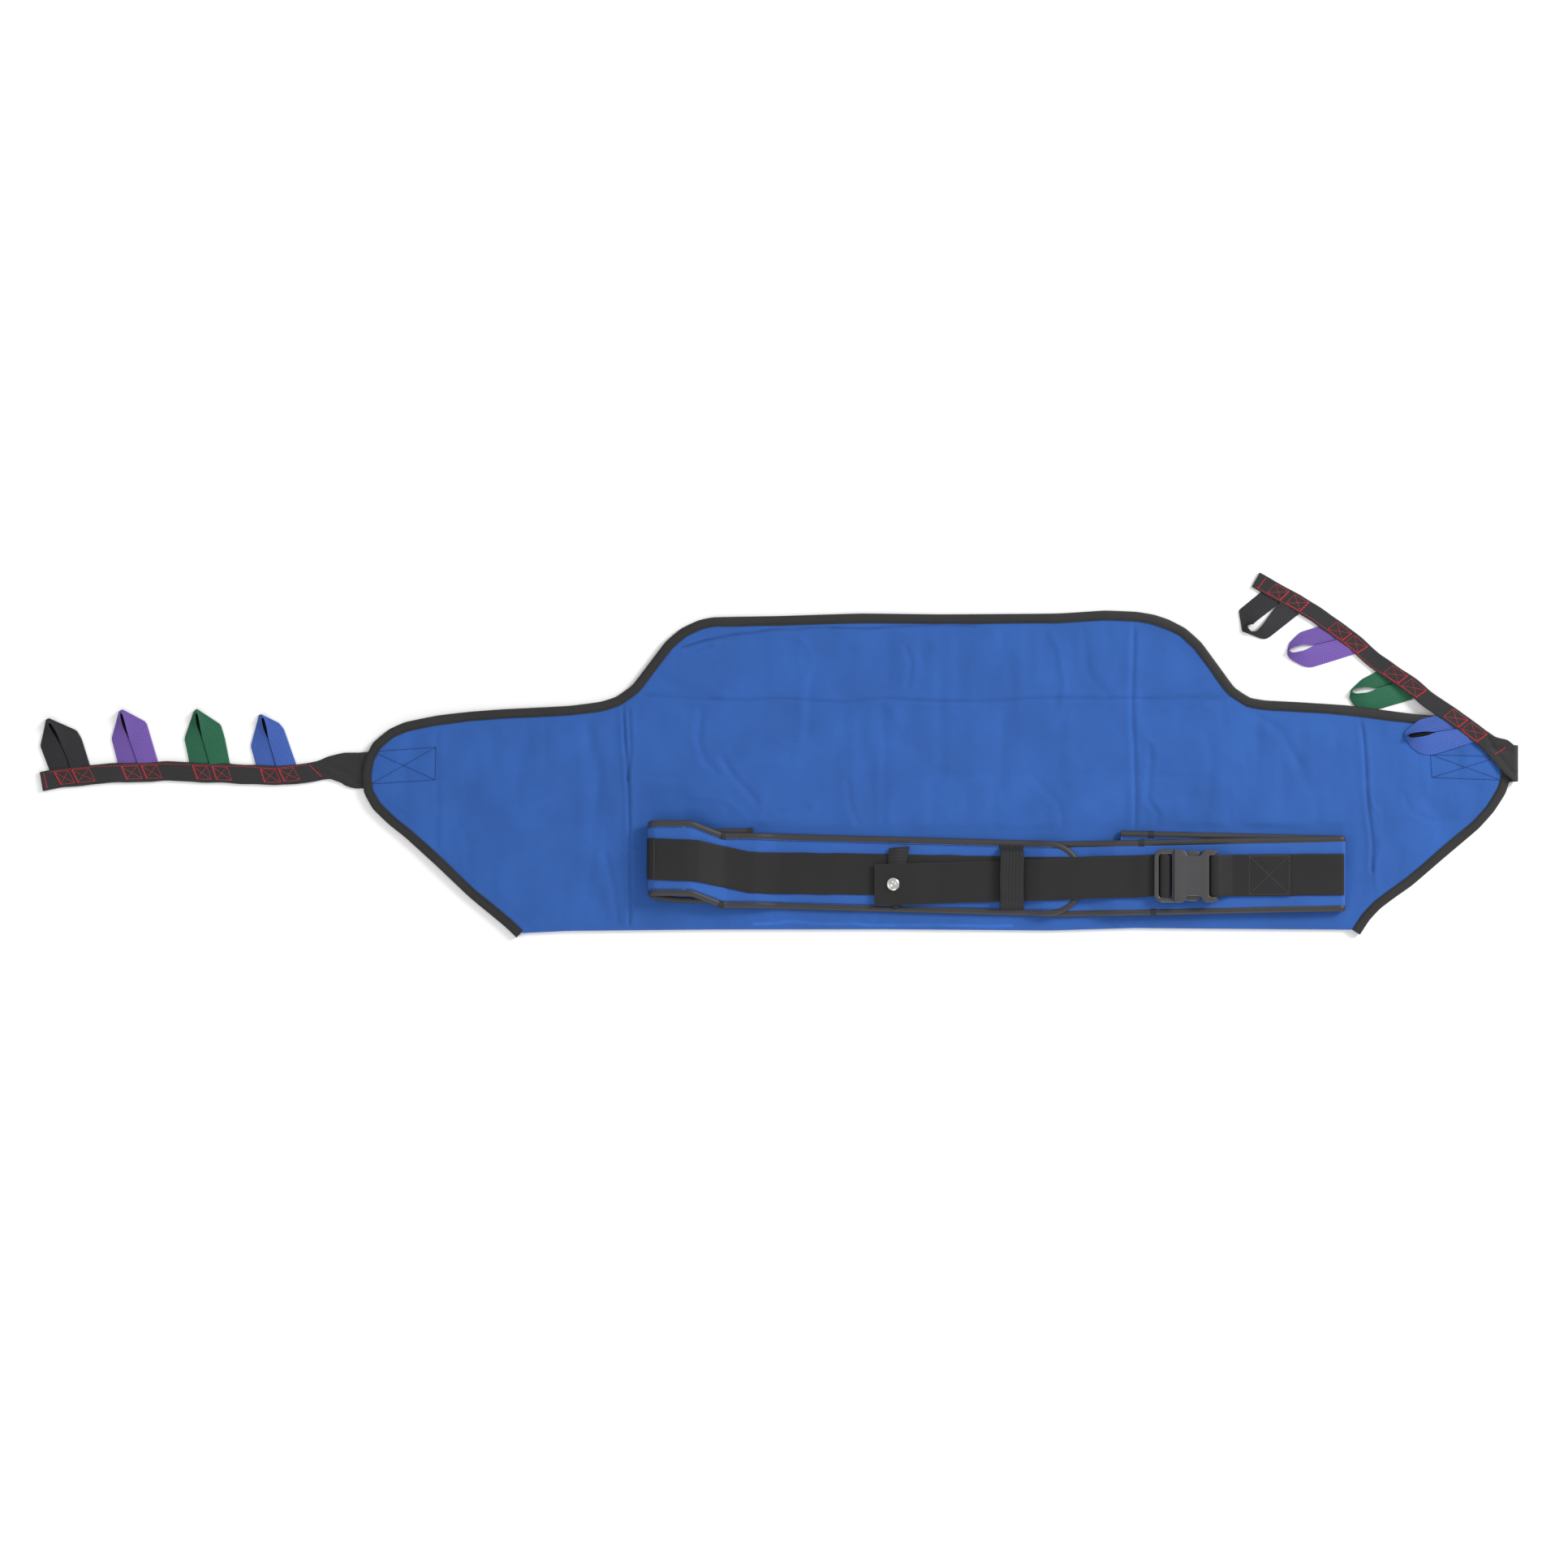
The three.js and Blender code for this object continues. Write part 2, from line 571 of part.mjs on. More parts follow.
// From beside the male half's load ply, up over its centre bar, out under the outer bar and along the belt.
function addTail() {
  const load = LAYER_2 + BAND_RISE + PLY;
  const line = [
    [254, BELT_CENTRE_Y, load],
    [270, BELT_CENTRE_Y, load],
    [281, BELT_CENTRE_Y, load + 0.1],
    [283.8, BELT_CENTRE_Y, load + 1.6],
    [284.2, BELT_CENTRE_Y, BUCKLE_MID - 2],
    [284, BELT_CENTRE_Y, BUCKLE_MID + 0.1],
    [281.6, BELT_CENTRE_Y, BUCKLE_MID + 1.6],
    [277, BELT_CENTRE_Y, BUCKLE_MID + 1.9],
    [273.6, BELT_CENTRE_Y, BUCKLE_MID + 1.7],
    [271.7, BELT_CENTRE_Y, BUCKLE_MID + 0.5],
    [271.5, BELT_CENTRE_Y, BUCKLE_MID - 1.1],
    [271.3, BELT_CENTRE_Y, BUCKLE_MID - 2.4],
    [269, BELT_CENTRE_Y, load + PLY + 0.05],
    [262, BELT_CENTRE_Y, load + PLY],
    [250, -126, load + PLY],
    [236, -126.6, load + 0.6],
    [200, -127.5, load],
    [129, -129.7, load + 0.1],
    [102, -130.6, TAIL_LOW + 0.2],
    [90, -131, TAIL_LOW],
    [TAIL_HINGE_X + GAP / 2, -131.6, TAIL_LOW],
  ].map((p) => v3(...p));
  add("belt_tail", strip(line, 90, WEBBING_WIDTH, WEBBING, ySide), BLACK_WEBBING);
}

function rivetHole(low, high) {
  const hole = new THREE.CylinderGeometry(2.4, 2.4, high - low, 16);
  hole.rotateX(Math.PI / 2);
  hole.translate(RIVET.x, RIVET.y, (low + high) / 2);
  return hole;
}

function addTailEnd() {
  const line = [
    [TAIL_HINGE_X - GAP / 2, -131.6, TAIL_LOW],
    [40, -132.4, TAIL_LOW],
    [8, -133.4, TAIL_LOW + 0.1],
    [-24, -134.4, TAIL_RAISED],
    [-50, -135.2, TAIL_RAISED],
    [TAIL_END_X, -136, TAIL_RAISED],
  ].map((p) => v3(...p));
  const end = strip(line, 20, WEBBING_WIDTH, WEBBING, ySide);
  add("tail_end", cut(end, rivetHole(10, 30)), BLACK_WEBBING);

  const tag = plate([v2(-29, -89.5), v2(-54, -92), v2(-58, -158), v2(-43, -165)],
    TAIL_RAISED - PLY - WEBBING / 2, TAIL_RAISED - PLY + WEBBING / 2);
  add("tail_tag", cut(tag, rivetHole(10, 30)), BLACK_WEBBING);
}

// Two-part rivet through the tail and its tag: a dished domed cap on a post, and a base disc.
function addRivet() {
  const top = TAIL_RAISED + WEBBING / 2 + GAP;
  const bottom = TAIL_RAISED - PLY - WEBBING / 2;
  const profile = [
    v2(0, bottom),
    v2(2, bottom),
    v2(2, top),
    v2(7.8, top),
    v2(7.8, top + 0.8),
    v2(6.6, top + 1.9),
    v2(4.4, top + 2.6),
    v2(2.4, top + 2.6),
    v2(0, top + 1.8),
  ];
  const place = (geometry) => geometry.rotateX(Math.PI / 2).translate(RIVET.x, RIVET.y, 0);
  add("rivet_cap", place(new THREE.LatheGeometry(profile, 24)), CHROME);
  const base = [v2(0, 0), v2(5.5, 0), v2(5.5, 0.45), v2(0, 0.45)].map((p) => v2(p.x, p.y + bottom - 0.75));
  add("rivet_base", place(new THREE.LatheGeometry(base, 24)), CHROME);
}

// ---------------------------------------------------------------- lifting straps and loops

const FLOOR_MID = STRAP / 2 + 0.1; // middle of a strap that lies on the surface
const LEFT_STRAP_X = -694.6;
const LEFT_STRAP_LINE = [
  v3(-1073, -10.5, FLOOR_MID),
  v3(-1050, -7, FLOOR_MID),
  v3(-1009, -2.9, FLOOR_MID),
  v3(-931, 0.5, FLOOR_MID),
  v3(-833, -2.9, FLOOR_MID),
  v3(-794, -4.9, FLOOR_MID),
  v3(-755, -0.5, FLOOR_MID),
  v3(-725, 4.4, FLOOR_MID),
  v3(LEFT_STRAP_X, 2.9, FLOOR_MID),
];
const STRAP_WIDTH = 23.5; // the webbing folded double along its length

// Crease where the right strap turns back over the wing.
const CREASE = v2(699.5, 10);
const CREASE_RADIUS = 4.5;
const CREASE_MID = 6.6;
const CREASE_TOP = CREASE_MID + CREASE_RADIUS;
const OVER_WING = BINDING_TOP + GAP + STRAP / 2;
const RIGHT_STRAP_WIDTH = 20;
const RIGHT_STRAP_BEND_X = 566; // where it comes down from the wing, and bends as the wing folds
const OPEN_WIDTH = 44; // the strap's webbing, not yet folded double
const TURN = 1.6; // its thickness there
const RIGHT_STRAP_LINE = [
  v3(CREASE.x - GAP, CREASE.y, CREASE_TOP),
  v3(682, 24.5, OVER_WING + 0.6),
  v3(652.7, 47, OVER_WING),
  v3(623, 69, OVER_WING),
  v3(598, 86, OVER_WING - 0.4),
  v3(566, 111, 5.6),
  v3(534, 133, FLOOR_MID),
  v3(510, 154, FLOOR_MID),
  v3(460, 192, FLOOR_MID),
  v3(425.8, 211.2, FLOOR_MID),
  v3(389, 231.8, FLOOR_MID),
];

function addStraps() {
  const opening = (t) => THREE.MathUtils.smoothstep(t, 0.84, 0.985);
  add("left_strap", strip(LEFT_STRAP_LINE, 48, (t) => STRAP_WIDTH + 18 * opening(t),
    (t) => STRAP - 1.4 * opening(t)), BLACK_WEBBING);

  const turn = [-90, -60, -30, 0, 30, 60, 90].map((degrees) => {
    const angle = THREE.MathUtils.degToRad(degrees);
    return v3(CREASE.x + CREASE_RADIUS * Math.cos(angle), CREASE.y,
      CREASE_MID + CREASE_RADIUS * Math.sin(angle));
  });
  const turnLine = [v3(696.2, CREASE.y, turn[0].z), ...turn];
  add("right_strap_turn", strip(turnLine, 20, OPEN_WIDTH, TURN, ySide), BLACK_WEBBING);

  // At the crease the webbing is open and square to the wing; it folds double as it turns away.
  const closing = (t) => 1 - THREE.MathUtils.smoothstep(t, 0, 0.11);
  const frames = framesAlong(RIGHT_STRAP_LINE, 54, {
    side: (t, along) => levelSide(along).lerp(v3(0, -1, 0), closing(t)),
    halfWidth: (t) => THREE.MathUtils.lerp(RIGHT_STRAP_WIDTH, OPEN_WIDTH, closing(t)) / 2,
    halfHeight: (t) => THREE.MathUtils.lerp(STRAP, TURN, closing(t)) / 2,
  });
  const strap = loft(SQUARE, frames);
  add("right_strap", shell(between(strap, RIGHT_STRAP_BEND_X, CREASE.x + 1)), BLACK_WEBBING);
  add("right_strap_end", shell(between(strap, 0, RIGHT_STRAP_BEND_X)), BLACK_WEBBING);
}

// Wedge outlines, in a frame on the strap's edge: x along the strap, y away from it.
const LEFT_LOOP = {
  outline: [v2(0, 0), v2(-8, 31), v2(-5, 50), v2(0, 65), v2(4, 67), v2(34, 50), v2(41, 34), v2(49, 0)],
  slot: [v2(3, 53), v2(12, 24)],
};
const RIGHT_LOOP = {
  outline: [v2(0, 0), v2(-12, 19), v2(-14.5, 36), v2(-10, 46), v2(-3, 50), v2(12, 49), v2(24, 42), v2(53, 0)],
  slot: [v2(-4, 38), v2(9, 21)],
};

function slotOutline([from, to], width) {
  const along = to.clone().sub(from).angle();
  const ends = [[to, along - Math.PI / 2], [from, along + Math.PI / 2]];
  return ends.flatMap(([centre, start]) =>
    Array.from({ length: 7 }, (_, i) => {
      const angle = start + (i * Math.PI) / 6;
      return v2(centre.x + (width / 2) * Math.cos(angle), centre.y + (width / 2) * Math.sin(angle));
    }));
}

// Lays a loop beside its strap, its foot on the chord of the strap's centre line from the place t.
function addLoop(name, line, t, { outline, slot }, sign, halfStrap, low, material) {
  const curve = curveOf(line);
  const foot = outline[outline.length - 1].x;
  const start = curve.getPointAt(t);
  const along = curve.getPointAt(t + (sign * foot) / curve.getLength()).sub(start).setZ(0).normalize();
  const out = levelSide(along).multiplyScalar(sign);
  const origin = start.addScaledVector(out, halfStrap + LOOP_EDGE_GAP);
  const place = (p) => v2(origin.x + along.x * p.x + out.x * p.y, origin.y + along.y * p.x + out.y * p.y);
  const placed = outline.map(place);
  const hole = slotOutline(slot, LOOP_SLOT).map(place);
  add(name, plate(placed, low, low + LOOP_THICKNESS, [hole]), material);
}

function addLoops() {
  const colours = [
    ["black", BLACK_WEBBING],
    ["purple", PURPLE_WEBBING],
    ["green", GREEN_WEBBING],
    ["blue", BLUE_WEBBING],
  ];
  const leftPlaces = [0.0158, 0.235, 0.462, 0.678];
  const rightPlaces = [0.985, 0.789, 0.565, 0.35];
  colours.forEach(([colour, material], i) => {
    const low = colour === "blue" ? BINDING_TOP + GAP : FLOOR_GAP;
    addLoop(`left_loop_${colour}`, LEFT_STRAP_LINE, leftPlaces[i], LEFT_LOOP, 1, STRAP_WIDTH / 2,
      FLOOR_GAP, material);
    addLoop(`right_loop_${colour}`, RIGHT_STRAP_LINE, rightPlaces[i], RIGHT_LOOP, -1,
      RIGHT_STRAP_WIDTH / 2, low, material);
  });
}

// ---------------------------------------------------------------- assembly

addBody();
addBeltPart("belt_left_root", LEFT_ROOT, 4);
addBeltPart("belt_right_root", RIGHT_ROOT, 6);
addBeltPart("belt_left_panel", LEFT_HALF, 64, leftEnd);
addBeltPart("belt_right_panel", RIGHT_HALF, 36);
addRightFold();
addBeltWebbing();
addKeeper();
addFemaleBuckle();
addMaleBuckle();
addProng("buckle_prong_upper", 1);
addProng("buckle_prong_lower", -1);
addTail();
addTailEnd();
addRivet();
addStraps();
addLoops();

export default root;
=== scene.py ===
import math

import bpy
import numpy as np
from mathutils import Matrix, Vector


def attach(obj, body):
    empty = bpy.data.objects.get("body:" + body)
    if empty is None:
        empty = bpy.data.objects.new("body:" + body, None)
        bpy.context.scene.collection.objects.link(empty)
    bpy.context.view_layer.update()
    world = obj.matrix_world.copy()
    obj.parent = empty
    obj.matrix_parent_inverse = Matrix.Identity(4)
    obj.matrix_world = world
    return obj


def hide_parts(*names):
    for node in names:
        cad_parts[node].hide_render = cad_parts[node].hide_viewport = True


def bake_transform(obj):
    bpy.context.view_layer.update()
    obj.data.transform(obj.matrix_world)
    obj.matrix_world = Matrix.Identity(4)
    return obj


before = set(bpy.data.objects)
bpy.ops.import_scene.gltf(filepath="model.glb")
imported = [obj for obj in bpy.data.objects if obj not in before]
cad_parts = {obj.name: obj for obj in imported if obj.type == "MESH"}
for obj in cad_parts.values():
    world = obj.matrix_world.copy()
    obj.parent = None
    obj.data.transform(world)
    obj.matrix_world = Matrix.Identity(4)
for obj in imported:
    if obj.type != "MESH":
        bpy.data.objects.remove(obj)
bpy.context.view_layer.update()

# Lengths are in millimetres up to the point where a mesh is made.
MM = 0.001

# --- layout shared with the CAD frame

LEFT_FOLD_X = -372.4
RIGHT_FOLD_X = 529.2
LAYER_1 = 9.0
LAYER_2 = 14.3
BAND_RISE = 3.0
PLY = 1.7
WEBBING = 1.4
BAND_WIDTH = 50
BELT_Y = -125
BELT_PANEL = 4
PANEL_WIDTH = 81
PIPING_OFFSET = 41.3
BUCKLE_MID = LAYER_2 + 10
TAIL_LOW = LAYER_1 + BAND_RISE + PLY
TAIL_RAISED = TAIL_LOW + 2.35
TAIL_HINGE_X = 70.6
RIVET = (-49, -135.2)
FLOOR_MID = 1.7
UP = np.array([0, 0, 1.0])
# Reach to either side of a wing's fold, handed to the bend, which does not use it.
FOLD_REACH = 20


def smooth(low, high, x):
    t = np.clip((x - low) / (high - low), 0, 1)
    return t * t * (3 - 2 * t)


def unit(v):
    return v / np.maximum(np.linalg.norm(v, axis=-1, keepdims=True), 1e-9)


def run_of(line):
    """Distance along a line of straight pieces, at each of its points."""
    return np.concatenate([[0], np.cumsum(np.linalg.norm(np.diff(line, axis=0), axis=1))])


def sample(s, reach, line):
    """Points of a line at distances s, where reach gives its own points' distances."""
    return np.stack([np.interp(s, reach, column) for column in line.T], axis=-1)


def leftward(along):
    """Level direction to the left of each direction."""
    level = np.zeros_like(along)
    level[:, 0], level[:, 1] = -along[:, 1], along[:, 0]
    return level


def around(sides):
    """Evenly spaced angles of a full turn."""
    return np.arange(sides) * 2 * math.pi / sides


def evenly(low, high, step):
    return np.linspace(low, high, max(2, round((high - low) / step)) + 1)


def field(x, y, scale, seed):
    """Smooth random heights from -1 to 1, with bumps about scale wide."""
    grid = np.random.RandomState(seed).uniform(-1, 1, (256, 256))
    gx = np.asarray(x, float) / scale + 128
    gy = np.asarray(y, float) / scale + 128
    i = np.clip(np.floor(gx).astype(int), 0, 254)
    j = np.clip(np.floor(gy).astype(int), 0, 254)
    a = smooth(0, 1, gx - i)
    b = smooth(0, 1, gy - j)
    low = grid[i, j] * (1 - a) + grid[i + 1, j] * a
    high = grid[i, j + 1] * (1 - a) + grid[i + 1, j + 1] * a
    return low * (1 - b) + high * b


# --- materials


def srgb(*levels):
    return [c / 12.92 if c <= 0.04045 else ((c + 0.055) / 1.055) ** 2.4 for c in (x / 255 for x in levels)]


class Graph:
    """A material's node tree, built one node at a time."""

    def __init__(self, name, **constants):
        self.material = bpy.data.materials.new(name)
        self.material.use_nodes = True
        self.tree = self.material.node_tree
        self.shader = self.tree.nodes["Principled BSDF"]
        for socket, value in constants.items():
            self.shader.inputs[socket.replace("_", " ")].default_value = value

    def node(self, kind, **inputs):
        node = self.tree.nodes.new(kind)
        for socket, value in inputs.items():
            self.feed(node.inputs[socket.replace("_", " ")], value)
        return node

    def feed(self, socket, value):
        if isinstance(value, bpy.types.NodeSocket):
            self.tree.links.new(value, socket)
        else:
            socket.default_value = value

    def calc(self, operation, *values):
        node = self.tree.nodes.new("ShaderNodeMath")
        node.operation = operation
        for socket, value in zip(node.inputs, values):
            self.feed(socket, value)
        return node.outputs[0]

    def noise(self, vector, scale, detail=3):
        return self.node("ShaderNodeTexNoise", Vector=vector, Scale=scale, Detail=detail).outputs["Fac"]

    def tint(self, colour, tone):
        node = self.tree.nodes.new("ShaderNodeVectorMath")
        node.operation = "SCALE"
        node.inputs[0].default_value = colour
        self.feed(node.inputs["Scale"], tone)
        self.feed(self.shader.inputs["Base Color"], node.outputs[0])

    def bump(self, height, distance, strength=1.0):
        node = self.node("ShaderNodeBump", Height=height, Distance=distance, Strength=strength)
        self.feed(self.shader.inputs["Normal"], node.outputs[0])


# Mesh attribute of painted light and marks on the cloth: painted shade along its creases, a painted highlight
# along its lower fold, and two darker strokes.
LIGHT_AND_MARKS_ATTRIBUTE = "painted_light_and_marks"


def woven(name, colour, pitch, depth, rough, spread=0.12, gap_shade=0.25, sheen=0.0, patch=0.07):
    """Cloth or webbing: yarn humps along and across, each row set off by half a pitch."""
    g = Graph(name, Sheen_Weight=sheen, Sheen_Roughness=0.5, Specular_IOR_Level=0.3)
    uv = g.node("ShaderNodeUVMap").outputs[0]
    parts = g.node("ShaderNodeSeparateXYZ", Vector=uv)
    u, v = parts.outputs[0], parts.outputs[1]
    along, across = (length * MM for length in pitch)
    row = g.calc("FLOOR", g.calc("DIVIDE", v, across))
    shift = g.calc("MULTIPLY", row, math.pi / 2)
    wave = g.calc("MULTIPLY_ADD", u, math.pi / along, shift)
    hump = g.calc("ABSOLUTE", g.calc("SINE", wave))
    cord = g.calc("ABSOLUTE", g.calc("SINE", g.calc("MULTIPLY", v, math.pi / across)))
    height = g.calc("MULTIPLY", hump, g.calc("POWER", cord, 0.6))
    broad = g.noise(uv, 1 / patch)
    fine = g.noise(uv, 1 / 0.0022, 3)
    tone = g.calc("MULTIPLY_ADD", broad, spread * 2, 1 - spread)
    tone = g.calc("MULTIPLY_ADD", fine, spread, tone)
    tone = g.calc("SUBTRACT", tone, spread / 2)
    # Painted shade between the yarn humps and painted highlight on their crowns.
    tone = g.calc("MULTIPLY", tone, g.calc("MULTIPLY_ADD", height, gap_shade, 1 - gap_shade * 0.6))
    # Painted shade and painted highlight, read from the mesh, scale the cloth's tone.
    painted_light_and_marks = g.tree.nodes.new("ShaderNodeAttribute")
    painted_light_and_marks.attribute_name = LIGHT_AND_MARKS_ATTRIBUTE
    tone = g.calc("MULTIPLY", tone, g.calc("ADD", painted_light_and_marks.outputs["Fac"], 1.0))
    g.tint(srgb(*colour), tone)
    g.feed(g.shader.inputs["Roughness"], g.calc("MULTIPLY_ADD", fine, 0.16, rough - 0.08))
    relief = g.calc("MULTIPLY_ADD", fine, 0.35, height)
    g.bump(relief, depth * MM, 0.8)
    return g.material


def moulded(name, colour, rough, metallic=0.0, grain=0.02):
    g = Graph(name, Metallic=metallic)
    place = g.node("ShaderNodeTexCoord").outputs["Object"]
    broad = g.noise(place, 60)
    fine = g.noise(place, 2600, 2)
    tone = g.calc("MULTIPLY_ADD", broad, 0.16, 0.92)
    g.tint(srgb(*colour), tone)
    g.feed(g.shader.inputs["Roughness"], g.calc("MULTIPLY_ADD", broad, 0.14, rough - 0.07))
    g.bump(fine, grain * MM)
    return g.material


def twisted(name, colour):
    """Sewing thread, with painted shade between its turns."""
    g = Graph(name, Specular_IOR_Level=0.35)
    place = g.node("ShaderNodeTexCoord").outputs["Object"]
    parts = g.node("ShaderNodeSeparateXYZ", Vector=place)
    slant = g.calc("ADD", parts.outputs[0], parts.outputs[1])
    turns = g.calc("ABSOLUTE", g.calc("SINE", g.calc("MULTIPLY", slant, math.pi / (0.5 * MM))))
    # Painted shade in the grooves between the thread's turns.
    g.tint(srgb(*colour), g.calc("MULTIPLY_ADD", turns, 0.3, 0.8))
    g.feed(g.shader.inputs["Roughness"], g.calc("MULTIPLY_ADD", g.noise(place, 900), 0.2, 0.45))
    g.bump(turns, 0.05 * MM)
    return g.material


CLOTH_YARN, CLOTH_LOOK = (0.9, 0.6), {"spread": 0.2, "gap_shade": 0.12, "sheen": 0.12}
STRAP_YARN = (1.9, 3.0)
BLUE_CLOTH = woven("blue_cloth", (42, 89, 164), CLOTH_YARN, 0.12, 0.84, **CLOTH_LOOK)
BELT_CLOTH = woven("blue_belt_cloth", (44, 90, 166), CLOTH_YARN, 0.12, 0.84, **CLOTH_LOOK)
BAND = woven("black_band_webbing", (30, 29, 31), (1.0, 1.4), 0.14, 0.6, spread=0.3)
STRAP = woven("black_strap_webbing", (42, 42, 44), STRAP_YARN, 0.45, 0.6, spread=0.3, gap_shade=0.6)
KEEPER = woven("black_keeper_webbing", (36, 36, 38), (2.2, 4.0), 0.5, 0.58, spread=0.25, gap_shade=0.65)
TAPE = woven("black_binding_tape", (43, 43, 44), (1.6, 1.4), 0.25, 0.7, spread=0.3, gap_shade=0.5)
PIPING = woven("grey_piping", (56, 55, 58), (1.0, 0.7), 0.08, 0.4, spread=0.2, gap_shade=0.15)
LOOPS = {
    name: woven(f"{name}_loop_webbing", colour, STRAP_YARN, 0.45, 0.6, spread=spread, gap_shade=gap_shade)
    for name, colour, spread, gap_shade in (
        ("black", (38, 38, 41), 0.3, 0.6), ("purple", (110, 82, 164), 0.2, 0.5),
        ("green", (31, 97, 68), 0.2, 0.5), ("blue", (59, 92, 172), 0.2, 0.5))
}
# Near-black webbing colour: painted shade for the inside of the loops' slits.
PAINTED_SHADE_WEBBING = woven("painted_shade_webbing", (13, 13, 16), STRAP_YARN, 0.3, 0.8, spread=0.2)
BLACK_THREAD = twisted("black_thread", (24, 24, 26))
NAVY_THREAD = twisted("navy_thread", (24, 45, 100))
RED_THREAD = twisted("red_thread", (236, 50, 62))
GREY_THREAD = twisted("grey_thread", (86, 84, 86))
PLASTIC = moulded("black_moulded_plastic", (64, 63, 65), 0.3)
NICKEL = moulded("nickel", (215, 214, 210), 0.24, metallic=1.0, grain=0.004)

# --- mesh makers


def add_object(name, data):
    piece = bpy.data.objects.new(name, data)
    bpy.context.scene.collection.objects.link(piece)
    return piece


def link_mesh(name, verts, faces, material, uv=None, sharp=50):
    """Mesh object from vertices and uv in millimetres."""
    mesh = bpy.data.meshes.new(name)
    mesh.from_pydata((np.asarray(verts) * MM).tolist(), [], faces)
    mesh.materials.append(material)
    if uv is not None:
        corners = np.empty(len(mesh.loops), dtype=np.int32)
        mesh.loops.foreach_get("vertex_index", corners)
        layer = mesh.uv_layers.new(name="UVMap")
        layer.data.foreach_set("uv", (np.asarray(uv, float)[corners] * MM).ravel())
    mesh.shade_smooth()
    mesh.set_sharp_from_angle(angle=math.radians(sharp))
    return add_object(name, mesh)


def ring_faces(rings, base=0):
    """Faces of the closed skin over a row of rings, with a cap at each end, facing outwards."""
    n, k = rings.shape[:2]
    i, j = (index.ravel() for index in np.meshgrid(np.arange(n - 1), np.arange(k), indexing="ij"))
    a, b = i * k + j, i * k + (j + 1) % k
    quads = np.stack([a, b, b + k, a + k], axis=1)
    flat = rings.reshape(-1, 3) - rings.reshape(-1, 3).mean(axis=0)
    p, q, r, t = (flat[quads[:, c]] for c in range(4))
    volume = np.sum(p * np.cross(q, r)) + np.sum(p * np.cross(r, t))
    caps = [list(range(k))[::-1], list(range((n - 1) * k, n * k))]
    faces = quads.tolist() + caps
    if volume < 0:
        faces = [face[::-1] for face in faces]
    return [[v + base for v in face] for face in faces] if base else faces


def skin(name, rings, uv, material, sharp=50):
    """Joins a row of equal rings into one closed skin."""
    return link_mesh(name, rings.reshape(-1, 3), ring_faces(rings), material, uv.reshape(-1, 2), sharp)


def moulding(name, parts, material, sharp=30):
    """One object of several closed skins that belong to one moulded piece."""
    verts, faces, base = [], [], 0
    for rings in parts:
        faces += ring_faces(rings, base)
        verts.append(rings.reshape(-1, 3))
        base += len(verts[-1])
    verts = np.concatenate(verts)
    return link_mesh(name, verts, faces, material, verts[:, :2], sharp)


TENSION = 0.2


def rounded(points, detail=16):
    """Cardinal spline through the points, as the CAD frame's lines have."""
    pts = [np.array(p, float) for p in points]
    ends = [2 * pts[0] - pts[1]] + pts + [2 * pts[-1] - pts[-2]]
    out = []
    for before, a, b, after in zip(ends, ends[1:], ends[2:], ends[3:]):
        leave, reach = (b - before) * TENSION, (after - a) * TENSION
        for t in np.arange(detail) / detail:
            t2, t3 = t * t, t * t * t
            out.append(a * (2 * t3 - 3 * t2 + 1) + leave * (t3 - 2 * t2 + t)
                       + b * (3 * t2 - 2 * t3) + reach * (t3 - t2))
    out.append(pts[-1])
    return np.array(out)


class Path:
    """An evenly stepped line, with the direction across it and the direction out of its face."""

    def __init__(self, points, step, side=None):
        line = rounded(points)
        reach = run_of(line)
        self.length = reach[-1]
        self.s = evenly(0, self.length, step)
        self.p = sample(self.s, reach, line)
        along = unit(np.gradient(self.p, axis=0))
        level = unit(leftward(along))
        if side is None:
            self.side = level
        elif callable(side):
            self.side = unit(side(self.s, level))
        else:
            self.side = np.tile(np.array(side, float), (len(along), 1))
        self.up = unit(np.cross(along, self.side))

    def at(self, s, across=0.0, out=0.0):
        across, out = (np.asarray(x, float)[..., None] for x in (across, out))
        place, side, up = (sample(s, self.s, rows) for rows in (self.p, self.side, self.up))
        return place + side * across + up * out

    def ups(self, s):
        return sample(s, self.s, self.up)

    def where(self, x, first=0.0):
        """Distance along the line at which it next crosses x."""
        for i in range(len(self.s) - 1):
            if self.s[i] >= first and (self.p[i, 0] - x) * (self.p[i + 1, 0] - x) <= 0:
                gap = self.p[i + 1, 0] - self.p[i, 0]
                return self.s[i] + (self.s[i + 1] - self.s[i]) * ((x - self.p[i, 0]) / gap if gap else 0)
        raise ValueError(x)


# Half section of a tape, from edge to edge of its face, in half widths and half thicknesses.
FLAT = ([(-1, 0), (-0.99, 0.6), (-0.965, 0.9)] + [(c, 1) for c in np.linspace(-0.9, 0.9, 13)]
        + [(0.965, 0.9), (0.99, 0.6), (1, 0)])
SECTION = [(c, h, True) for c, h in FLAT] + [(c, -h, False) for c, h in FLAT[::-1][1:-1]]
DOUBLED_EDGE = [(1, 0.35, True), (0.93, 0.06, True), (0.93, -0.06, False), (1, -0.35, False)]


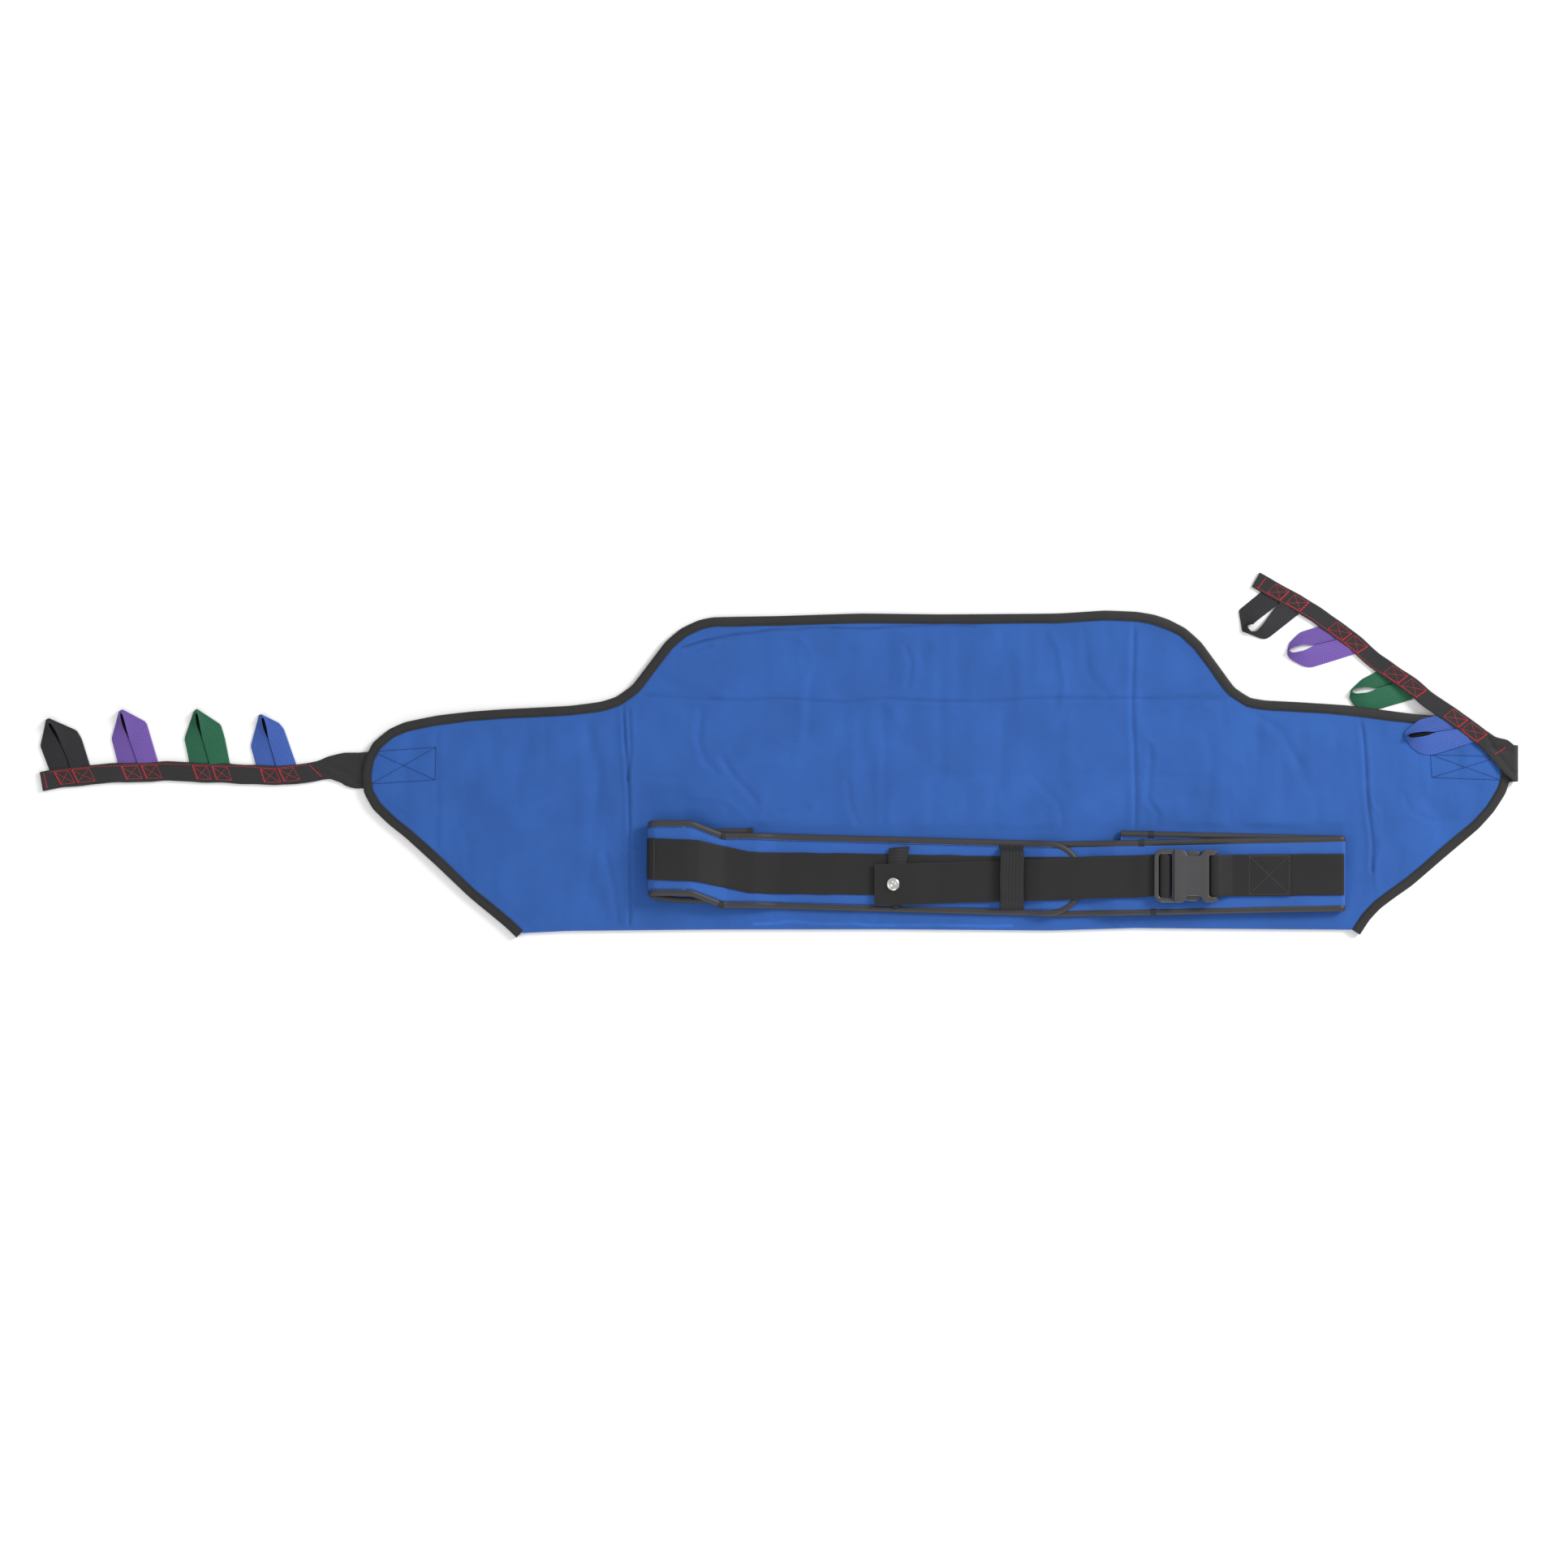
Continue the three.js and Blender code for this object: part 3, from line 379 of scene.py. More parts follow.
def tape(name, path, width, thick, material, low=0.0, high=None, crown=0.0, wave=0.25, seed=1, slit=False,
         sway=0.4, relief=None):
    """Flat tape along a path, its edges rounded and uneven. A slit runs along a doubled edge."""
    high = path.length if high is None else high
    inner = path.s[(path.s > low + 0.4) & (path.s < high - 0.4)]
    s = np.concatenate([[low], inner, [high]])
    size = lambda value: np.array([value(x) for x in s]) if callable(value) else np.full(len(s), float(value))
    half, deep = size(width) / 2, size(thick) / 2
    shape = SECTION
    if slit:
        edge_at = SECTION.index((1, 0, True))
        shape = SECTION[:edge_at] + DOUBLED_EDGE + SECTION[edge_at + 1:]
    sideways = sway * field(s, 0 * s, 22, seed + 200)
    columns = []
    for c, h, top in shape:
        across = half * c + sideways
        out = deep * h + (crown * (1 - c * c) if top else 0)
        out = out + wave * field(s, across, 34, seed) * (1 - 0.3 * c * c)
        if relief and top:
            out = out + relief(s, across)
        columns.append(path.at(s, across, out))
    rings = np.stack(columns, axis=1)
    uv = np.stack([np.stack([s, half * c], axis=1) for c, _, _ in shape], axis=1)
    return skin(name, rings, uv, material)


def tube(name, centres, outs, wide, tall, material, sides=12):
    """Round or oval cord along centres, wide along the surface and tall out of it."""
    along = unit(np.gradient(centres, axis=0))
    across = unit(np.cross(outs, along))
    turn = around(sides)
    rings = (centres[:, None] + across[:, None] * (wide * np.cos(turn))[None, :, None]
             + outs[:, None] * (tall * np.sin(turn))[None, :, None])
    uv = np.stack(np.broadcast_arrays(run_of(centres)[:, None], (turn * wide)[None, :]), axis=-1)
    return skin(name, rings, uv, material)


def thread(name, place, lines, material, pitch=4.0, dash=2.7, radius=0.4, sink=0.1):
    """Rows of stitches. place(a, b) gives the points on a surface and its outward directions."""
    verts, faces = [], []
    shape = np.array([-0.5, -0.3, 0.3, 0.5]) * dash
    girth = np.array([0.3, 1, 1, 0.3]) * radius
    for line in lines:
        line = np.array(line, float)
        reach = run_of(line)
        count = max(1, int(reach[-1] / pitch))
        spots = (np.arange(count)[:, None] + 0.5) * reach[-1] / count + shape[None]
        a, b = np.moveaxis(sample(spots, reach, line), -1, 0)
        points, out = place(a, b)
        ahead = unit(points[:, 3:] - points[:, :1])
        across = unit(np.cross(out, ahead))
        centre = points + out * (radius - sink)
        offsets = [side * girth[None, :, None] for side in (across, out, -across, -out)]
        ring = np.stack([centre + offset for offset in offsets], axis=2)
        for stitch in ring:
            faces += ring_faces(stitch, len(verts) * 16)
            verts.append(stitch.reshape(16, 3))
    return link_mesh(name, np.concatenate(verts), faces, material, sharp=80)


# Stitches: pitch, length and radius.
EDGE_STITCH = (3.4, 2.2, 0.32)
BOX_STITCH = (3.6, 2.8, 0.36)
SEAM_STITCH = (3.4, 2.4, 0.36)
MARK_STITCH = (2.4, 1.8, 0.28)
BAND_STITCH = (2.6, 1.9, 0.26)


def on_path(path, lift):
    return lambda s, v: (path.at(s, v, lift), path.ups(s))


def facing_up(x, y, z):
    """Points at x, y, z and the upward direction at each."""
    points = np.stack(np.broadcast_arrays(x, y, z), axis=-1)
    return points, np.broadcast_to(UP, points.shape)


def crossed(p, q, r, t):
    """Stitch lines of a box with both diagonals."""
    return [[p, q, r, t, p], [p, r], [q, t]]


def crossed_box(a0, a1, b0, b1, slant=0.0):
    """A crossed box along a tape. slant leans its ends."""
    return crossed((a0, b0), (a1, b0), (a1 + slant, b1), (a0 + slant, b1))


def riding(body):
    return lambda piece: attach(piece, body)


def bending(start, end):
    """Bakes a piece's place into its mesh and makes no bend. start and end, in millimetres, are converted but
    not used.
    """
    start, end = (tuple(v * MM for v in place) for place in (start, end))
    return lambda piece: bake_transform(piece)


def finish_piece(piece, mount, slot, *nodes):
    """Puts a piece on its body and hides the CAD nodes that it stands for. slot is not used."""
    mount(piece)
    if nodes:
        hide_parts(*nodes)
    return piece


# --- padded body

# Outer edge from the lower left corner, over the left tip and the shoulders, to the lower right corner.
EDGE = [
    (-503, -200), (-519, -185), (-559, -152), (-598, -115), (-637, -79.5), (-657, -63.5), (-676, -45),
    (-686.5, -26), (-689.5, -5), (-686, 16), (-676, 35), (-657, 51), (-637, 60), (-598, 68), (-559, 72.5),
    (-519, 75.5), (-441, 79.5), (-402, 84.5), (-382, 91), (-363, 105), (-343, 131), (-323, 157), (-304, 173),
    (-284, 182.5), (-264, 186.5), (-186, 188), (-88, 191), (10, 190), (147, 191), (206, 194.5), (245, 193),
    (266, 189.5), (284, 183.5), (304, 173), (323, 156), (343, 129), (363, 102), (382, 89.5), (402, 86),
    (441, 84), (500, 80), (578, 70), (620, 66), (655, 57), (682, 39), (694, 20), (696, -6), (690, -26),
    (676, -48), (657, -69), (617, -103), (578, -136.5), (556, -152), (539, -165), (526, -179), (514.5, -196.5),
]
BOTTOM = [(-493, -194.5), (-441, -192), (-265, -190.3), (-60, -190), (142, -191.5), (242, -188.5), (420, -190),
          (500, -190.5)]
CLOTH_TOP = 6.2
CLOTH_EDGE_TOP = 5.3
CLOTH_INSET = 3.0

edge = Path([(x, y, 0) for x, y in EDGE], 3.0)


def edge_point(s, inset, z):
    """Point at a distance in from the outer edge, at height z."""
    flat = edge.at(s, -np.asarray(inset, float))
    return np.stack([flat[..., 0], flat[..., 1], np.broadcast_to(z, np.shape(s))], axis=-1)


inset_line = (edge.p - edge.side * CLOTH_INSET)[:, :2]
left_tip = int(np.argmin(inset_line[:, 0]))
right_tip = int(np.argmax(inset_line[:, 0]))
upper_line = inset_line[left_tip:right_tip + 1]
fold_line = np.array(BOTTOM, float)
left_lower, right_lower = inset_line[:left_tip + 1][::-1], inset_line[right_tip:][::-1]
lower_line = np.concatenate([left_lower[:-2], fold_line, right_lower[2:]])


def distance_to(line, x, y):
    """Shortest distance from each point to a line of straight pieces."""
    best = np.full(np.shape(x), 1e9)
    for (ax, ay), (bx, by) in zip(line[:-1], line[1:]):
        dx, dy = bx - ax, by - ay
        t = np.clip(((x - ax) * dx + (y - ay) * dy) / max(dx * dx + dy * dy, 1e-9), 0, 1)
        best = np.minimum(best, np.hypot(x - ax - t * dx, y - ay - t * dy))
    return best


# Creases and soft folds pressed into the cloth: line, depth, half width.
CREASES = [
    ([(-350, 92), (-290, 89), (-236, 86), (-175, 88), (-108, 84), (-60, 88), (20, 85), (120, 88), (250, 88),
      (372, 92)], 1.2, 2.2),
    ([(242, 192), (240, 90), (243, -30), (241, -188)], 1.0, 2.6),
    ([(-374, 82), (-371.6, 32), (-368.5, -12), (-366, -68), (-366.6, -184)], 1.3, 1.8),
    ([(-367, 74), (-365, 32), (-369, -10)], 0.8, 1.8),
    ([(515, 72), (519, 40), (521, 10), (523, -43), (528, -87), (528, -120)], 1.3, 2.0),
    ([(-598, 66), (-601, 20), (-597, -40), (-600, -108)], 0.6, 3.0),
    ([(-303, 150), (-278, 158), (-241, 166), (-191, 171), (-144, 174), (-82, 172.5), (-22, 176.5), (49, 175.5)],
     1.7, 1.7),
    ([(-300, 146), (-288, 148), (-270, 152)], 0.9, 2.0),
    ([(-340, -6), (-180, -2), (-20, -8), (130, -3), (330, -6)], 0.5, 5),
    ([(-60, 88), (-58, 30), (-61, -70)], 0.45, 4),
    ([(-280, 74), (-284, 40), (-276, 14), (-262, 0)], 0.8, 3.2),
    ([(-256, 18), (-248, 4), (-232, -16), (-214, -36)], 0.9, 3.0),
    ([(-204, -52), (-190, -46), (-172, -50), (-150, -44)], 0.8, 3.0),
    ([(180, 170), (186, 120), (210, 92)], 0.6, 4),
    ([(-34, 150), (-28, 130), (-32, 104)], 0.8, 3),
    ([(-345, 120), (-300, 100), (-262, 88)], 0.6, 4),
    ([(330, 120), (300, 104), (255, 90)], 0.6, 4),
    ([(-103, -12), (-100, -40), (-92, -66)], 0.8, 3),
    ([(120, -10), (150, -40), (156, -70)], 0.6, 4),
    ([(378, 80), (398, 62), (420, 44), (440, 10)], 0.8, 4.5),
    ([(-420, 60), (-405, 0), (-412, -90)], 0.6, 6),
    ([(-396, -100), (-386, -140), (-380, -186)], 0.9, 3),
    ([(262, 30), (261, -5), (258, -32), (270, -52), (264, -70)], 0.9, 2.6),
    ([(330, 44), (336, 10), (331, -40)], 0.5, 5),
    ([(440, 10), (462, -40), (458, -96)], 0.45, 6),
    ([(568, -28), (575, -48), (604, -62), (629, -56)], 0.5, 2.6),
]
# Lines of painted light and marks on the cloth, as line, change of tone, half width: painted shade along the
# creases, a painted highlight along the lower fold, and two darker strokes.
PAINTED_LIGHT_AND_MARK_LINES = [(CREASES[i][0], tone, width) for i, tone, width in (
    (0, -0.1, 1.5), (2, -0.12, 1.4), (3, -0.08, 1.4), (4, -0.16, 1.4), (6, -0.42, 1.5))]
PAINTED_LIGHT_AND_MARK_LINES += [
    # Painted highlight along the lower fold, where light catches the cloth; then two darker strokes.
    ([(-216, -184.5), (-175, -181), (-128, -183.5), (-50, -184.5), (10, -185), (60, -186), (95, -186)],
     0.5, 1.6),
    ([(-255, -100), (-252, -170)], -0.1, 2.0),
    ([(213, -183), (217, -186), (223, -186.5)], -0.5, 1.2),
]


def painted_light_and_mark_tone(x, y):
    """Change of tone on the body's upper face: painted shade, painted highlight and darker strokes."""
    change = 0 * x
    patchy = 0.65 + 0.35 * field(x, y, 17, 91)
    uneven_y = y + 1.2 * field(x, y, 24, 92)
    for line, amount, width in PAINTED_LIGHT_AND_MARK_LINES:
        d = distance_to(rounded(line, 6), x, uneven_y)
        change = change + amount * patchy * np.exp(-((d / width) ** 2))
    return change


# How much of the wrinkles' drift the creases follow.
CREASE_DRIFT = 0.1


def relaxed(x, y):
    """Height of the cloth's face over its flat state: quilting puff, soft wrinkles and creases."""
    warp_x = x + 16 * field(x, y, 70, 5) + 3 * field(x, y, 18, 7)
    warp_y = y + 16 * field(x, y, 70, 6) + 3 * field(x, y, 18, 8)
    z = 0.9 * field(warp_x, warp_y, 105, 11) + 0.7 * field(warp_x, warp_y * 1.5, 44, 12)
    for scale_x, scale_y, seed in ((0.6, 1.0, 13), (1.0, 0.5, 16)):
        ridges = 1 - np.abs(field(warp_x * scale_x, warp_y * scale_y, 62, seed))
        z = z + 0.8 * smooth(0.8, 1.0, ridges) * smooth(-0.25, 0.5, field(x, y, 120, seed + 1))
    z = z + 0.22 * field(x, y, 15, 15) + 0.1 * field(x, y, 8, 18)
    near_x = warp_x * CREASE_DRIFT + x * (1 - CREASE_DRIFT)
    near_y = warp_y * CREASE_DRIFT + y * (1 - CREASE_DRIFT)
    for line, depth, width in CREASES:
        d = distance_to(rounded(line, 6), near_x, near_y)
        rim = 0.45 * np.exp(-(((d - 2.4 * width) / (1.6 * width)) ** 2))
        z = z + depth * (rim - np.exp(-((d / width) ** 2)))
    return z


SIM_COLUMNS, SIM_ROWS = 130, 36
SIM_FRAMES = 20
SIM_CAP = 1.5


def slackened():
    """Heights that a cloth simulation gives the upper sheet, held along its edges, on the body's grid."""
    xs = np.linspace(columns[6], columns[-7], SIM_COLUMNS)
    lows = np.interp(xs, columns, low_y)
    highs = np.interp(xs, columns, high_y)
    rows = np.linspace(0, 1, SIM_ROWS)
    ys = lows[:, None] + (highs - lows)[:, None] * rows[None]
    verts = np.stack([np.repeat(xs[:, None], SIM_ROWS, axis=1), ys, np.zeros_like(ys)], axis=-1)
    verts[..., 2] = 0.6 * field(verts[..., 0], ys, 30, 71)
    spans = np.arange(SIM_COLUMNS - 1), np.arange(SIM_ROWS - 1)
    i, j = (index.ravel() for index in np.meshgrid(*spans, indexing="ij"))
    a = i * SIM_ROWS + j
    quads = np.stack([a, a + SIM_ROWS, a + SIM_ROWS + 1, a + 1], axis=1)
    mesh = bpy.data.meshes.new("slack_sheet")
    mesh.from_pydata((verts.reshape(-1, 3) * MM).tolist(), [], quads.tolist())
    sheet = add_object("slack_sheet", mesh)
    number = np.arange(SIM_COLUMNS * SIM_ROWS).reshape(SIM_COLUMNS, SIM_ROWS)
    held = np.unique(np.concatenate([number[0], number[-1], number[:, 0], number[:, -1]]))
    sheet.vertex_groups.new(name="held").add(held.tolist(), 1.0, "REPLACE")
    cloth = sheet.modifiers.new("slack", "CLOTH")
    fabric = cloth.settings
    fabric.quality = 6
    fabric.mass = 0.3
    fabric.bending_stiffness = 0.3
    fabric.use_pressure = True
    fabric.uniform_pressure_force = 4
    fabric.shrink_min = -0.02
    fabric.vertex_group_mass = "held"
    fabric.effector_weights.gravity = 0
    cloth.collision_settings.use_collision = False
    cloth.point_cache.frame_end = SIM_FRAMES
    scene = bpy.context.scene
    for number_of_frame in range(1, SIM_FRAMES + 1):
        scene.frame_set(number_of_frame)
    settled = sheet.evaluated_get(bpy.context.evaluated_depsgraph_get()).to_mesh()
    heights = np.empty(len(settled.vertices) * 3)
    settled.vertices.foreach_get("co", heights)
    heights = heights.reshape(SIM_COLUMNS, SIM_ROWS, 3)[..., 2] / MM
    bpy.data.objects.remove(sheet)
    bpy.data.meshes.remove(mesh)
    scene.frame_set(1)
    broad = heights.copy()
    for _ in range(10):
        shifted = [np.roll(broad, shift, axis) for axis in (0, 1) for shift in (1, -1)]
        broad = (broad + sum(shifted)) / 5
    folds = heights - broad
    folds = folds / max(np.percentile(np.abs(folds), 97), 1e-6)
    puff = heights / max(heights.max(), 1e-6)
    heights = SIM_CAP * (0.75 * np.tanh(folds) + 0.25 * puff)
    across = np.stack([np.interp(share, rows, line) for line in heights])
    return np.stack([np.interp(columns, xs, across[:, k]) for k in range(ROWS)], axis=1)


SPLIT_X = 242.0
tip_low, tip_high = inset_line[left_tip, 0], inset_line[right_tip, 0]
near_tip = np.array([0.02, 0.3, 0.8, 1.6, 2.8, 4.4, 6.4, 9.0])
columns = np.concatenate([
    tip_low + near_tip, evenly(tip_low + 12, SPLIT_X, 2.9),
    evenly(SPLIT_X, tip_high - 12, 2.9)[1:], (tip_high - near_tip)[::-1],
])
# Finer columns near these places, and finer rows in these parts of the height, where the creases run.
FINE_COLUMNS = np.array([-370, SPLIT_X, 523])
FINE_ROWS = ((0, 0.045), (0.695, 0.745), (0.88, 0.975))
middles = (columns[1:] + columns[:-1]) / 2
near = middles[np.min(np.abs(middles[:, None] - FINE_COLUMNS), axis=1) < 9]
columns = np.sort(np.concatenate([columns, near]))
share = np.linspace(0, 1, 136)
middles = (share[1:] + share[:-1]) / 2
extra = [middles[(middles > low) & (middles < high)] for low, high in FINE_ROWS]
share = np.sort(np.concatenate([share] + extra))
ROWS = len(share)
low_y = np.interp(columns, lower_line[:, 0], lower_line[:, 1])
high_y = np.interp(columns, upper_line[:, 0], upper_line[:, 1])
grid_x = np.repeat(columns[:, None], ROWS, axis=1)
grid_y = low_y[:, None] + (high_y - low_y)[:, None] * share[None]
from_binding = distance_to(inset_line, grid_x, grid_y)
from_fold = distance_to(fold_line, grid_x, grid_y)

# Under the belt the padding is pressed flat.
BELT_ZONE = (-352, 500, -176, -68)
PRESSED_TOP = 6.55
BODY_MID = 3.1
FOLD_ROUND = 5.5


def within(low, high, outer, inner, v):
    """1 between low and high, and 0 well outside them."""
    return smooth(low - outer, low + inner, v) * smooth(-high - outer, -high + inner, -v)


def under_belt(x, y):
    x0, x1, y0, y1 = BELT_ZONE
    return within(x0, x1, 10, 4, x) * within(y0, y1, 8, 2, y)


def closed_at_fold(z):
    """Rounds a face in to the body's middle at the lower fold."""
    fold = np.clip(from_fold / FOLD_ROUND, 0, 1)
    return BODY_MID + (z - BODY_MID) * np.sqrt(np.clip(1 - (1 - fold) ** 2, 0.0025, 1))


def body_top():
    z = CLOTH_EDGE_TOP + (CLOTH_TOP - CLOTH_EDGE_TOP) * smooth(0, 12, from_binding)
    z = z + 0.9 * smooth(4, 42, from_binding) * smooth(-6, 30, from_fold)
    loose = smooth(5, 26, from_binding) * smooth(0, 14, from_fold)
    z = z + relaxed(grid_x, grid_y) * loose
    z = z + slackened() * loose
    z = closed_at_fold(z)
    press = under_belt(grid_x, grid_y)
    return np.where(press > 0, z * (1 - press) + np.minimum(z, PRESSED_TOP) * press, z)


top_z = body_top()
bottom_z = closed_at_fold(0.1 + 1.1 * (1 - smooth(0, 12, from_binding)))
# The under face takes every fifth row.
bottom_rows = np.unique(np.append(np.arange(ROWS - 1, -1, -5), 0))


def body_height(x, y):
    """Height of the body's upper face at x, y."""
    x, y = np.asarray(x, float), np.asarray(y, float)
    i = np.clip(np.searchsorted(columns, x) - 1, 0, len(columns) - 2)
    a = np.clip((x - columns[i]) / (columns[i + 1] - columns[i]), 0, 1)
    heights = []
    for k in (i, i + 1):
        at = np.clip((y - low_y[k]) / np.maximum(high_y[k] - low_y[k], 1e-6), 0, 1)
        j = np.clip(np.searchsorted(share, at) - 1, 0, ROWS - 2)
        b = (at - share[j]) / (share[j + 1] - share[j])
        heights.append(top_z[k, j] * (1 - b) + top_z[k, j + 1] * b)
    return heights[0] * (1 - a) + heights[1] * a


def on_body(x, y):
    return facing_up(x, y, body_height(x, y))


def body_piece(name, first, last, bend, *nodes):
    pick = slice(first, last + 1)
    xs, ys = grid_x[pick], grid_y[pick]
    back = bottom_rows[::-1]
    upper = np.stack([xs, ys, top_z[pick]], axis=-1)
    lower = np.stack([xs[:, back], ys[:, back], bottom_z[pick][:, back]], axis=-1)
    rings = np.concatenate([upper, lower], axis=1)
    piece = skin(name, rings, rings[..., :2], BLUE_CLOTH, 60)
    # Painted shade and painted highlight on the upper face only.
    tones = np.concatenate([painted_light_and_mark_tone(xs, ys), np.zeros(lower.shape[:2])], axis=1).astype(np.float32)
    piece.data.attributes.new(LIGHT_AND_MARKS_ATTRIBUTE, "FLOAT", "POINT").data.foreach_set("value", tones.ravel())
    finish_piece(piece, bend, "blue_cloth", *nodes)


def wing_bend(fold_x, outward):
    """Mount for the cloth at a wing's fold; it bakes the piece's place and makes no bend."""
    reach = FOLD_REACH * outward
    return bending((fold_x - reach, 0, 7.2), (fold_x + reach, 0, 7.2))


bend_left = wing_bend(LEFT_FOLD_X, -1)
bend_right = wing_bend(RIGHT_FOLD_X, 1)
split = int(np.argmin(np.abs(columns - SPLIT_X)))
body_piece("body_left", 0, split, bend_left, "back_panel_cloth", "back_panel_foam", "left_wing_cloth",
           "left_wing_foam")
body_piece("body_right", split, len(columns) - 1, bend_right, "right_wing_front_cloth",
           "right_wing_back_cloth", "right_wing_foam")

# --- binding

# Section of the tape folded over the edge: distance in from the edge, height.
WRAP = [
    (11.6, 6.15), (11.7, 6.75), (11.0, 7.05), (8, 7.15), (5, 7.1), (2.4, 6.7), (0.8, 5.7), (0, 4.2), (0, 2.8),
    (0.7, 1.3), (2.4, 0.35), (5, 0.1), (8, 0.05), (11.4, 0.1), (11.7, 0.35), (11.4, 0.8), (6, 0.95), (3.4, 1.4),
    (2.2, 2.6), (2.0, 3.6), (2.2, 4.6), (3.6, 5.6), (6, 5.95),
]


def binding_piece(name, low, high):
    inner = edge.s[(edge.s > low + 0.5) & (edge.s < high - 0.5)]
    s = np.concatenate([[low], inner, [high]])
    rows = []
    for inset, z in WRAP:
        wide = 1 + 0.035 * field(s, 0 * s, 26, 21)
        rise = 0.22 * field(s, 0 * s + inset, 22, 22) * smooth(0, 4, z)
        rows.append(edge_point(s, inset * wide, z + rise))
    uv = np.stack([np.stack([s, 0 * s + 2.2 * i], axis=1) for i in range(len(WRAP))], axis=1)
    return skin(name, np.stack(rows, axis=1), uv, TAPE, 60)


def on_binding(s, inset):
    return edge_point(s, inset, 7.0), np.broadcast_to(UP, s.shape + (3,))


upper_split = edge.where(SPLIT_X, edge.length * 0.3)
STITCH_INSET = 9.6
# Side, bend, ends along the edge, CAD nodes, and corners of the box that holds the strap's end in the wing.
SIDES = (
    ("left", bend_left, 0, upper_split, ("left_wing_binding", "back_panel_binding"),
     [(-676, 24.5), (-600, 29.4), (-600.7, -9.8), (-678, -14.7)]),
    ("right", bend_right, upper_split, edge.length, ("right_wing_binding", "lower_corner_binding"),
     [(599, 20.6), (600.7, -7), (684, -10), (682, 18)]),
)
for side_name, bend, low, high, nodes, box in SIDES:
    finish_piece(binding_piece(f"edge_binding_{side_name}", low, high), bend, "binding_tape", *nodes)
for side_name, bend, low, high, nodes, box in SIDES:
    row = [(max(low, 3), STITCH_INSET), (min(high, edge.length - 3), STITCH_INSET)]
    bend(thread(f"binding_stitches_{side_name}", on_binding, [row], BLACK_THREAD, *EDGE_STITCH))
for side_name, bend, low, high, nodes, box in SIDES:
    bend(thread(f"wing_box_stitches_{side_name}", on_body, crossed(*box), NAVY_THREAD, *BOX_STITCH))

# --- belt panels and piping

Y_SIDE = (0, 1, 0)
LEFT_BELT = [
    (-217.6, -113.7, 9), (-260, -113.7, 9), (-310, -112, 9), (-333, -109, 9), (-338.6, -107, 11),
    (-341.5, -105, 17.5), (-338.6, -104, 24), (-333, -103.6, 26), (-298, -103.6, 26.6), (-290, -104.6, 26),
    (-256, -118, 17), (-248, -118.6, 15), (-214, -118.8, 14.3), (-190, -119.8, 9), (-150, -121, 9),
    (0, -125, 9), (108, -128, 9), (134, -128.5, 14.3), (178, -129.1, 14.3),
]
left_belt = Path(LEFT_BELT, 2.6, Y_SIDE)
half_turn = [math.radians(a) for a in (30, 60, 90, 120, 150)]
RIGHT_BELT = (
    [(225.4, -116.3, 9), (350, -119.2, 9), (470, -122, 9), (490.4, -122.5, 9)]
    + [(490.9 + 2.65 * math.sin(a), -122.5, 11.65 - 2.65 * math.cos(a)) for a in half_turn]
    + [(490.4, -122.5, 14.3), (470, -123, 14.3), (250, -127.4, 14.3), (218, -128, 14.3), (188, -128.8, 9),
       (160, -129.4, 9), (137, -129.7, 9)]
)
right_belt = Path(RIGHT_BELT, 1.8, Y_SIDE)

END_RADIUS = 40
END_START = left_belt.where(137, left_belt.length * 0.7)


def end_offset(s):
    """How far the piping stands from the belt's middle near the left half's rounded end."""
    t = np.clip((s - END_START) / END_RADIUS, 0, 1)
    return PIPING_OFFSET - END_RADIUS * (1 - np.sqrt(1 - t * t))


# Where the piping's ends are wrapped over one another: place along X, upper or lower piping.
PIPING_JOINTS = {
    "belt_left_front": [(-254, 1), (-256, -1)], "belt_left_sewn": [(-221, 1)],
    "belt_right_sewn": [(262, 1)], "belt_right_front": [(264, -1), (250, 1)],
}
SEAM_OFFSET = 37.1
# Half widths of the cord and of its wrapped ends: along the panel, out of it.
CORD = (4.2, 2.9)
WRAPPED = (4.8, 3.35)


def belt_part(name, path, low, high, mount, seed, round_end=False):
    """Panel, piping and seam of one stretch of the belt."""
    width = (lambda s: 2 * (end_offset(s) - 1.6)) if round_end else PANEL_WIDTH
    panel = tape(f"{name}_panel", path, width, BELT_PANEL, BELT_CLOTH, low, high, crown=0.5, wave=0.15,
                 seed=seed)
    pieces = [finish_piece(panel, mount, "blue_cloth")]
    if round_end:
        flat = evenly(low, END_START, 4)
        turn = np.radians(np.arange(4, 90, 5))
        half = np.concatenate([flat, END_START + END_RADIUS * np.sin(turn)])
        offset = end_offset(half)
        runs = [("piping", np.concatenate([half, half[::-1]]), np.concatenate([offset, -offset[::-1]]))]
    else:
        s = evenly(low, high, 2.0)
        runs = [("piping_upper", s, s * 0 + PIPING_OFFSET), ("piping_lower", s, s * 0 - PIPING_OFFSET)]
    for label, s, offset in runs:
        cord = tube(f"{name}_{label}", path.at(s, offset), path.ups(s), *CORD, PIPING)
        pieces.append(finish_piece(cord, mount, "piping"))
    for x, side in PIPING_JOINTS.get(name, []):
        s = path.where(x, low) + np.linspace(-3.2, 3.2, 9)
        joint_at = path.at(s, side * PIPING_OFFSET)
        joint = tube(f"{name}_joint_{len(pieces)}", joint_at, path.ups(s), *WRAPPED, TAPE)
        mount(joint)
        pieces.append(joint)
    high_seam = END_START + 20 if round_end else high
    seams = [[(low + 2, v), (high_seam - 2, v)] for v in (SEAM_OFFSET, -SEAM_OFFSET)]
    mount(thread(f"{name}_seams", on_path(path, BELT_PANEL / 2 + 0.35), seams, BLACK_THREAD, *SEAM_STITCH))
    return pieces


